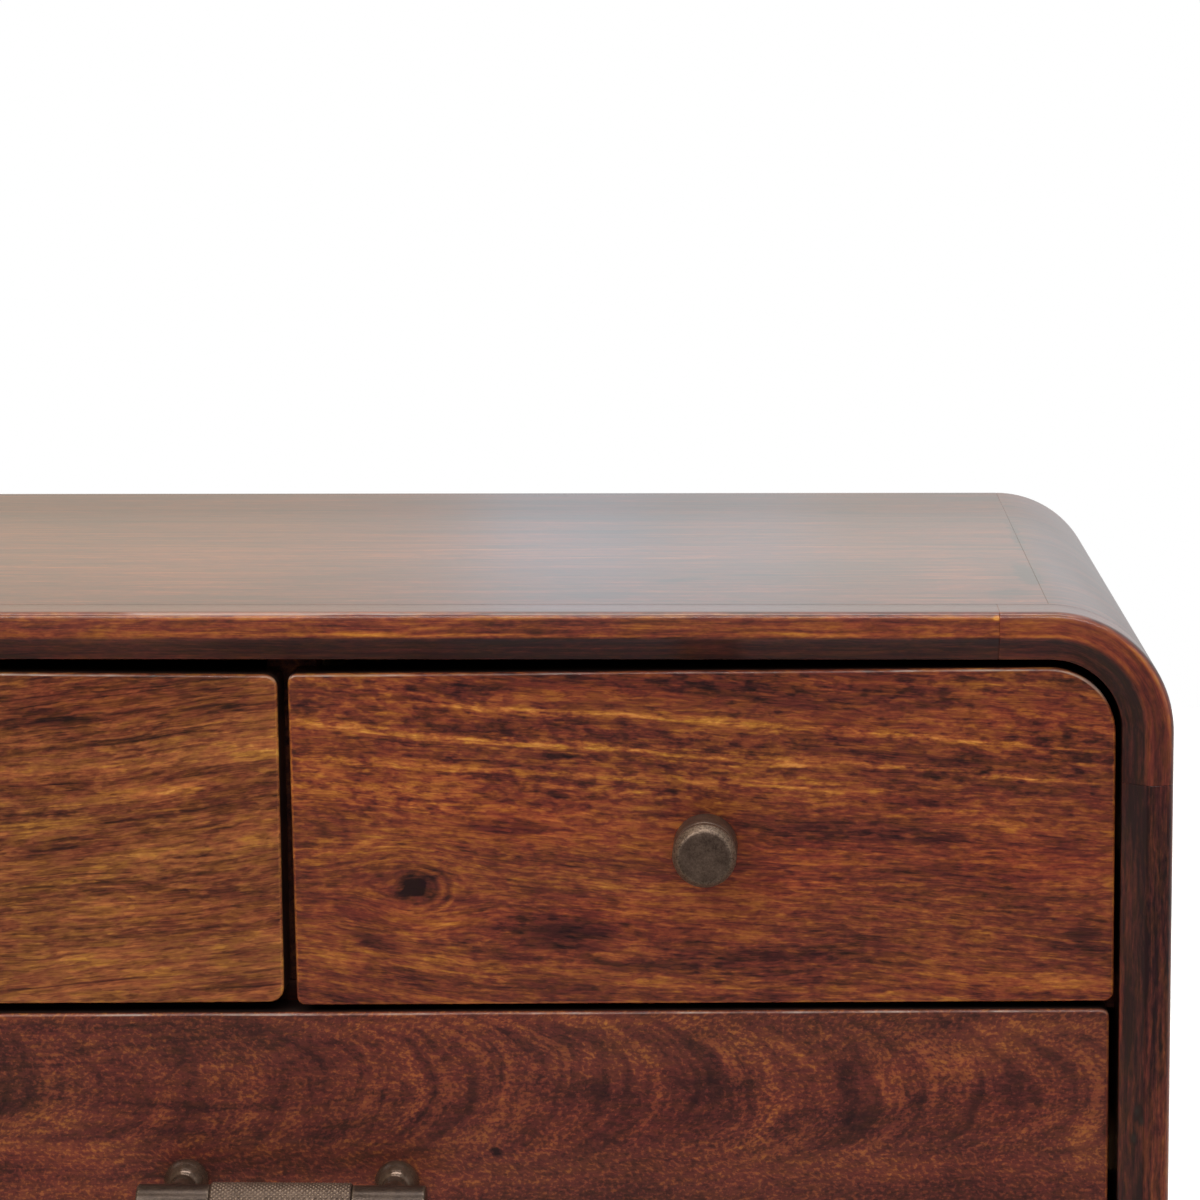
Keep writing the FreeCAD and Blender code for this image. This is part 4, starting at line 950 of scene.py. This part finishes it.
m_leg = attr_stain("stained_wood_leg", 8, 0.42, wave=3.0, ripple=1.0, cloud=0.8, band=1.1, streak=0.8, fleck=0.8, fibre=0.4)
LEG_PROFILE = [(0.0, 0.0), (17.6, 0.0), (18.6, 0.12), (19.6, 0.5), (20.4, 1.2), (20.85, 2.1), (21.0, 3.2)]
for node, sx, sy, seed in (("leg_front_left", -1, -1, 1), ("leg_front_right", 1, -1, 2), ("leg_back_left", -1, 1, 3), ("leg_back_right", 1, 1, 4)):
    top = Vector((sx * 207.0, 12.5 + sy * 106.0, 286.0))
    foot = Vector((sx * 243.0, 12.5 + sy * 140.0, 0.0))
    d = (foot - top).normalized()
    e1 = d.orthogonal().normalized()
    e2 = d.cross(e1)
    length = (foot - top).length
    segs = 56
    verts, grain, edge, faces = [tuple(top)], [(0, 0, 0)], [(0, 0, 0)], []
    rings = []

    def add(p, c, s, h, r):
        verts.append(tuple(p))
        grain.append((h + seed * 733.0, r * c + seed * 53.0, r * s + seed * 29.0))
        edge.append((r, h, 0.02 * (seed % 3) - 0.02))
        return len(verts) - 1

    def at(a, h, r):
        c, s = math.cos(a), math.sin(a)
        return top + d * h + (e1 * c + e2 * s) * r, c, s

    for r, h in LEG_PROFILE[1:]:
        ring = []
        for j in range(segs):
            p, c, s = at(2 * math.pi * j / segs, h, r)
            ring.append(add(p, c, s, h, r))
        rings.append(ring)
    # straight taper along each line of the turning, to a level cut just above the glide
    ends = []
    for j in range(segs):
        a = 2 * math.pi * j / segs
        lo, hi = 200.0, length + 15.0
        for _ in range(40):
            mid = (lo + hi) / 2
            if at(a, mid, 21.0 - 9.0 * mid / length)[0].z > 3.0:
                lo = mid
            else:
                hi = mid
        ends.append(lo)
    for f in [0.06, 0.16, 0.3, 0.44, 0.58, 0.72, 0.84, 0.93, 0.985]:
        ring = []
        for j in range(segs):
            a = 2 * math.pi * j / segs
            h = 3.2 + (ends[j] - 3.2) * f
            r = 21.0 - 9.0 * h / length + 0.06 * noise.noise((math.cos(a), math.sin(a), h / 30.0 + seed))
            p, c, s = at(a, h, r)
            ring.append(add(p, c, s, h, r))
        rings.append(ring)
    for inset, up in ((0.0, 1.0), (0.35, 0.35), (1.0, 0.0)):
        ring = []
        for j in range(segs):
            a = 2 * math.pi * j / segs
            h = ends[j] - up
            r = 21.0 - 9.0 * h / length - inset
            p, c, s = at(a, h, r)
            if inset >= 1.0:
                p.z = 3.0
            ring.append(add(p, c, s, h, r))
        rings.append(ring)
    for j in range(segs):
        faces.append((0, rings[0][j], rings[0][(j + 1) % segs]))
    for a, b in zip(rings, rings[1:]):
        for j in range(segs):
            k = (j + 1) % segs
            faces.append((a[j], a[k], b[k], b[j]))
    faces.append(tuple(rings[-1]))
    ob = make(node + "_wood", verts, faces, 35.0)
    note(ob, "grain", grain)
    note(ob, "edge", edge)
    done(ob, node, "cabinet", m_leg)


# ------------------------------------------------------------------ knurled grip
def grip():
    around, along, half = 208, 212, 22.1
    turns = 25
    verts, faces, rings = [], [], []

    def tri(t):
        t = t - math.floor(t)
        return 1.0 - abs(2.0 * t - 1.0)

    pitch = 2 * math.pi * 6.8 * math.sqrt(0.5) / turns
    prof = [(-38.1, 0.0), (-38.1, 3.9), (-37.6, 4.4), (-22.1, 4.4), (-22.1, 6.05)]
    for x, r in prof:
        rings.append((x, r, False))
    for i in range(along + 1):
        x = -half + 2 * half * i / along
        rings.append((x, 6.8, True))
    for x, r in reversed(prof):
        rings.append((-x, r, False))
    index = []
    for x, r, knurl in rings:
        if r == 0.0:
            index.append([len(verts)])
            verts.append((x, Y_BAR, PULL_Z))
            continue
        row = []
        for j in range(around):
            a = 2 * math.pi * j / around
            k = r
            if knurl:
                w = 6.8 * a * math.sqrt(0.5)
                s = x * math.sqrt(0.5)
                peak = min(tri((s + w) / pitch), tri((s - w) / pitch))
                peak = min(1.0, peak * 1.25)
                end = max(0.0, min(1.0, (half - abs(x)) / 0.7))
                k = 6.8 - 0.34 * (1.0 - peak) - 0.40 * (1.0 - end) ** 2
                k += 0.03 * noise.noise((x * 0.9, math.cos(a) * 5.0, math.sin(a) * 5.0)) - 0.03
            row.append(len(verts))
            verts.append((x, Y_BAR + k * math.cos(a), PULL_Z + k * math.sin(a)))
        index.append(row)
    for a, b in zip(index, index[1:]):
        for j in range(around):
            k = (j + 1) % around
            if len(a) == 1:
                faces.append((a[0], b[j], b[k]))
            elif len(b) == 1:
                faces.append((a[j], a[k], b[0]))
            else:
                faces.append((a[j], a[k], b[k], b[j]))
    return make("pull_grip_bar_metal", verts, faces, 75.0)


done(grip(), "pull_grip_bar", "lower_drawer", bronze("antique_bronze_grip", grip_worn, 5, 0.40, 0.85))
m_bracket = bronze("antique_bronze_bracket", sleeve_worn, 4, 0.34, 0.42, False, True)


def carve(base, tool, how):
    """Joins or cuts base with tool, which is used up."""
    m = base.modifiers.new("carve", "BOOLEAN")
    m.operation = how
    m.solver = "EXACT"
    m.object = tool
    bpy.context.view_layer.update()
    me = bpy.data.meshes.new_from_object(base.evaluated_get(bpy.context.evaluated_depsgraph_get()))
    base.modifiers.clear()
    base.data = me
    bpy.data.objects.remove(tool)


def bracket(node, x, inward):
    """Domed foot with its screw hole, neck, and a sleeve bored for the grip."""
    prof = [(0, 11.0), (2.1, 11.0), (2.1, 0), (6.75, 0), (7.05, 0.12), (7.2, 0.45)]
    for k in range(17):
        a = math.radians(54.3) * k / 16
        prof.append((7.2 * math.cos(a), 0.9 + 9.0 * math.sin(a)))
    prof += [(4.12, 8.6), (4.04, 9.2), (4.0, 10.2), (4.0, 24.0), (0, 24.0)]
    ob = lathe(node + "_metal", prof, (x, Y_DF, PULL_Z), (0, -1, 0), 64)
    turned = [(0, 0), (5.3, 0), (5.57, 0.05), (5.8, 0.2), (5.95, 0.43), (6.0, 0.7)]
    turned += [(r, 23.2 - h) for r, h in reversed(turned)]
    carve(ob, lathe("sleeve", turned, (x - 11.6, Y_BAR, PULL_Z), (1, 0, 0), 64), "UNION")
    carve(ob, lathe("bore", [(0, 0), (4.5, 0), (4.5, 18.5), (0, 18.5)], (x + inward * 12.1, Y_BAR, PULL_Z), (-inward, 0, 0), 48), "DIFFERENCE")
    ob.data.polygons.foreach_set("use_smooth", [True] * len(ob.data.polygons))
    ob.data.set_sharp_from_angle(angle=math.radians(40))
    done(ob, node, "lower_drawer", m_bracket)


bracket("pull_left_bracket", -33.7, 1)
bracket("pull_right_bracket", 33.7, -1)


# ------------------------------------------------------------------ eased copies of the plain boards
def eased(node, width, mat, body, least=3.0, segs=2, butt=False):
    """The node's own boards with their long edges eased; a butted front end keeps its edges."""
    me = nodes[node].data.copy()
    me.name = node + "_eased"
    bm = bmesh.new()
    bm.from_mesh(me)
    bmesh.ops.remove_doubles(bm, verts=bm.verts, dist=2e-6)
    bmesh.ops.dissolve_limit(bm, angle_limit=math.radians(0.8), verts=bm.verts, edges=bm.edges)
    end = min(v.co.y for v in bm.verts) + 0.1 * MM
    sharp = [e for e in bm.edges if len(e.link_faces) == 2 and e.calc_face_angle(0) > math.radians(35)
             and e.is_convex and e.calc_length() > least * MM
             and not (butt and max(v.co.y for v in e.verts) < end)]
    if sharp:
        bmesh.ops.bevel(bm, geom=sharp, offset=width * MM, offset_type="OFFSET", segments=segs, profile=0.5,
                        affect="EDGES", clamp_overlap=True)
    bmesh.ops.recalc_face_normals(bm, faces=bm.faces)
    bm.to_mesh(me)
    bm.free()
    me.polygons.foreach_set("use_smooth", [True] * len(me.polygons))
    me.set_sharp_from_angle(angle=math.radians(50))
    ob = bpy.data.objects.new(node + "_board", me)
    scene.collection.objects.link(ob)
    done(ob, node, body, mat)
    return ob


m_box_y = bare_wood("bare_wood_sides", "yzx", 31)
m_box_x = bare_wood("bare_wood_backs", "xzy", 32)
m_base = bare_wood("bare_wood_bases", "yxz", 33, base=0.62, band=0.6, streak=0.5)
m_run = bare_wood("bare_wood_runners", "yzx", 34, base=0.42)
m_shelf = bare_wood("inner_board_shelf", "xyz", 35, base=0.48, stain_front=True)
m_div = bare_wood("inner_board_divider", "yzx", 36, base=0.48, stain_front=True)
m_back = plain_stain("back_board", "xzy", 37, 0.46, rough=0.52, coat=0.0, wave=9.0, ripple=2.0, cloud=0.6, band=0.9, streak=0.5, fleck=0.5, fibre=0.5, size=1.4)
m_block = plain_stain("stained_wood_block", "xyz", 38, 0.36, rough=0.44)
m_dowel = bare_wood("bare_wood_dowels", "xyz", 39)

for side in ("right", "left"):
    body = side + "_drawer"
    eased(side + "_drawer_outer_side", 0.8, m_box_y, body, butt=True)
    eased(side + "_drawer_inner_side", 0.8, m_box_y, body, butt=True)
    eased(side + "_drawer_back", 0.8, m_box_x, body)
    eased(side + "_drawer_base", 0.4, m_base, body)
eased("lower_drawer_left_side", 0.8, m_box_y, "lower_drawer", butt=True)
eased("lower_drawer_right_side", 0.8, m_box_y, "lower_drawer", butt=True)
eased("lower_drawer_back", 0.8, m_box_x, "lower_drawer")
eased("lower_drawer_base", 0.4, m_base, "lower_drawer")
for n in ("runner_left_outer", "runner_left_inner", "runner_right_inner", "runner_right_outer", "runner_lower_left", "runner_lower_right"):
    eased(n, 0.7, m_run, "cabinet")
eased("mid_shelf", 0.8, m_shelf, "cabinet")
eased("centre_divider", 0.8, m_div, "cabinet")
eased("back_panel", 0.6, m_back, "cabinet")
eased("leg_blocks", 1.6, m_block, "cabinet", 10.0, 3)


def dress(node, mat):
    ob = nodes[node]
    ob.data.materials.clear()
    ob.data.materials.append(mat)


m_steel, m_nylon = steel(), nylon()
for n in ("back_panel_screws", "runner_screws", "leg_block_screws", "leg_bolts", "right_knob_screw", "left_knob_screw", "pull_screws"):
    dress(n, m_steel)
dress("foot_glides", m_nylon)
dress("carcass_dowels", m_dowel)


# ------------------------------------------------------------------ floor, light, camera
def studio():
    me = bpy.data.meshes.new("floor")
    bm = bmesh.new()
    bmesh.ops.create_circle(bm, cap_ends=True, radius=3.2, segments=96)
    bm.to_mesh(me)
    bm.free()
    floor = bpy.data.objects.new("floor", me)
    scene.collection.objects.link(floor)
    g = Graph("studio_floor")
    p = g.object_mm()
    n = g.noise(p, (0.004, 0.004, 0.004), (1, 2, 3), 2.0)
    col = g.ramp(n, [(0.3, (0.86, 0.86, 0.855, 1)), (0.7, (0.90, 0.90, 0.895, 1))])
    me.materials.append(g.surface(col, 0.85, spec=0.2))
    floor.visible_glossy = False

    w = bpy.data.worlds.new("studio")
    scene.world = w
    w.use_nodes = True
    t = w.node_tree
    t.nodes.clear()

    def nd(kind, **kw):
        n = t.nodes.new(kind)
        for k, v in kw.items():
            setattr(n, k, v)
        return n

    tc = nd("ShaderNodeTexCoord")
    sep = nd("ShaderNodeSeparateXYZ")
    t.links.new(tc.outputs["Generated"], sep.inputs[0])
    back = nd("ShaderNodeMapRange", interpolation_type="SMOOTHSTEP")
    for i, v in enumerate((0, -0.65, 0.45, 0.09, 0.73)):
        back.inputs[i].default_value = v
    t.links.new(sep.outputs[1], back.inputs[0])
    up = nd("ShaderNodeMapRange", interpolation_type="SMOOTHSTEP")
    for i, v in enumerate((0, 0.12, 0.95, 0.0, 0.50)):
        up.inputs[i].default_value = v
    t.links.new(sep.outputs[2], up.inputs[0])
    add = nd("ShaderNodeMath", operation="ADD")
    t.links.new(back.outputs[0], add.inputs[0])
    t.links.new(up.outputs[0], add.inputs[1])
    # a warm reflector low behind on the left, a little brighter above the horizon
    rise = nd("ShaderNodeMapRange", interpolation_type="SMOOTHSTEP")
    for i, v in enumerate((0, 0.100, 0.145, 0.79, 1.09)):
        rise.inputs[i].default_value = v
    t.links.new(sep.outputs[2], rise.inputs[0])
    gain = nd("ShaderNodeMath", operation="MULTIPLY")
    t.links.new(add.outputs[0], gain.inputs[0])
    t.links.new(rise.outputs[0], gain.inputs[1])
    # tan walls with a cooler pane between them
    side = nd("ShaderNodeMapRange")
    for i, v in enumerate((0, -0.25, 0.15, 0.0, 1.0)):
        side.inputs[i].default_value = v
    t.links.new(sep.outputs[0], side.inputs[0])
    warm = nd("ShaderNodeValToRGB")
    stops = ((0.155, (0.89, 0.755, 0.605)), (0.31, (0.90, 0.775, 0.64)), (0.39, (0.90, 0.79, 0.69)), (0.425, (0.92, 0.86, 0.81)),
             (0.455, (0.97, 1.03, 1.09)), (0.515, (0.97, 1.03, 1.10)), (0.555, (0.955, 0.965, 0.96)), (0.61, (0.99, 1.02, 1.04)),
             (0.665, (0.98, 0.925, 0.84)), (0.75, (0.975, 0.935, 0.88)), (0.925, (0.975, 0.975, 0.975)))
    els = warm.color_ramp.elements
    while len(els) < len(stops):
        els.new(0.5)
    for el, (at, rgb) in zip(els, stops):
        el.position = at
        el.color = (*rgb, 1.0)
    t.links.new(side.outputs[0], warm.inputs[0])
    lp = nd("ShaderNodeLightPath")
    soft = nd("ShaderNodeBackground")
    t.links.new(warm.outputs[0], soft.inputs[0])
    t.links.new(gain.outputs[0], soft.inputs[1])
    white = nd("ShaderNodeBackground")
    white.inputs[0].default_value = (1, 1, 1, 1)
    white.inputs[1].default_value = 1.0
    mix = nd("ShaderNodeMixShader")
    t.links.new(lp.outputs["Is Camera Ray"], mix.inputs[0])
    t.links.new(soft.outputs[0], mix.inputs[1])
    t.links.new(white.outputs[0], mix.inputs[2])
    o = nd("ShaderNodeOutputWorld")
    t.links.new(mix.outputs[0], o.inputs[0])

    def area(name, loc, target, size, watts, shiny=True, color=(1, 1, 1), deep=None):
        l = bpy.data.lights.new(name, "AREA")
        l.shape = "RECTANGLE"
        l.size = size
        l.size_y = deep or size
        l.energy = watts
        l.color = color
        ob = bpy.data.objects.new(name, l)
        ob.location = loc
        ob.rotation_euler = (Vector(target) - Vector(loc)).to_track_quat("-Z", "Y").to_euler()
        ob.visible_camera = False
        ob.visible_glossy = shiny
        scene.collection.objects.link(ob)

    area("key", (-1.5, -2.3, 2.1), (0.05, -0.1, 0.4), 0.9, 25.0)
    area("edge", (0.1, -1.32, 1.75), (0.1, -0.155, 0.50), 1.8, 9.0, deep=0.08)
    area("fill", (2.2, -1.4, 1.2), (0.0, 0.0, 0.3), 1.6, 5.0)
    area("strip", (0.1, -0.32, 2.3), (0.1, -0.319, 0.0), 1.5, 9.0, deep=0.22)
    area("rear", (0.6, 2.3, 2.0), (0.6, 2.3, 0.0), 2.2, 46.0, False)


def camera():
    yaw, pitch, roll = (math.radians(a) for a in (-2.69, -7.60, -0.36))
    f = Vector((math.sin(yaw) * math.cos(pitch), math.cos(yaw) * math.cos(pitch), math.sin(pitch)))
    r0 = Vector((math.cos(yaw), -math.sin(yaw), 0.0))
    u0 = r0.cross(f)
    r = r0 * math.cos(roll) + u0 * math.sin(roll)
    u = u0 * math.cos(roll) - r0 * math.sin(roll)
    c = bpy.data.cameras.new("camera")
    c.lens = 122.3
    c.sensor_width = 36.0
    c.clip_start = 0.05
    c.clip_end = 60.0
    ob = bpy.data.objects.new("camera", c)
    ob.matrix_world = Matrix(((r.x, u.x, -f.x, 0.1586), (r.y, u.y, -f.y, -1.4125), (r.z, u.z, -f.z, 0.731), (0, 0, 0, 1)))
    scene.collection.objects.link(ob)
    scene.camera = ob


studio()
camera()
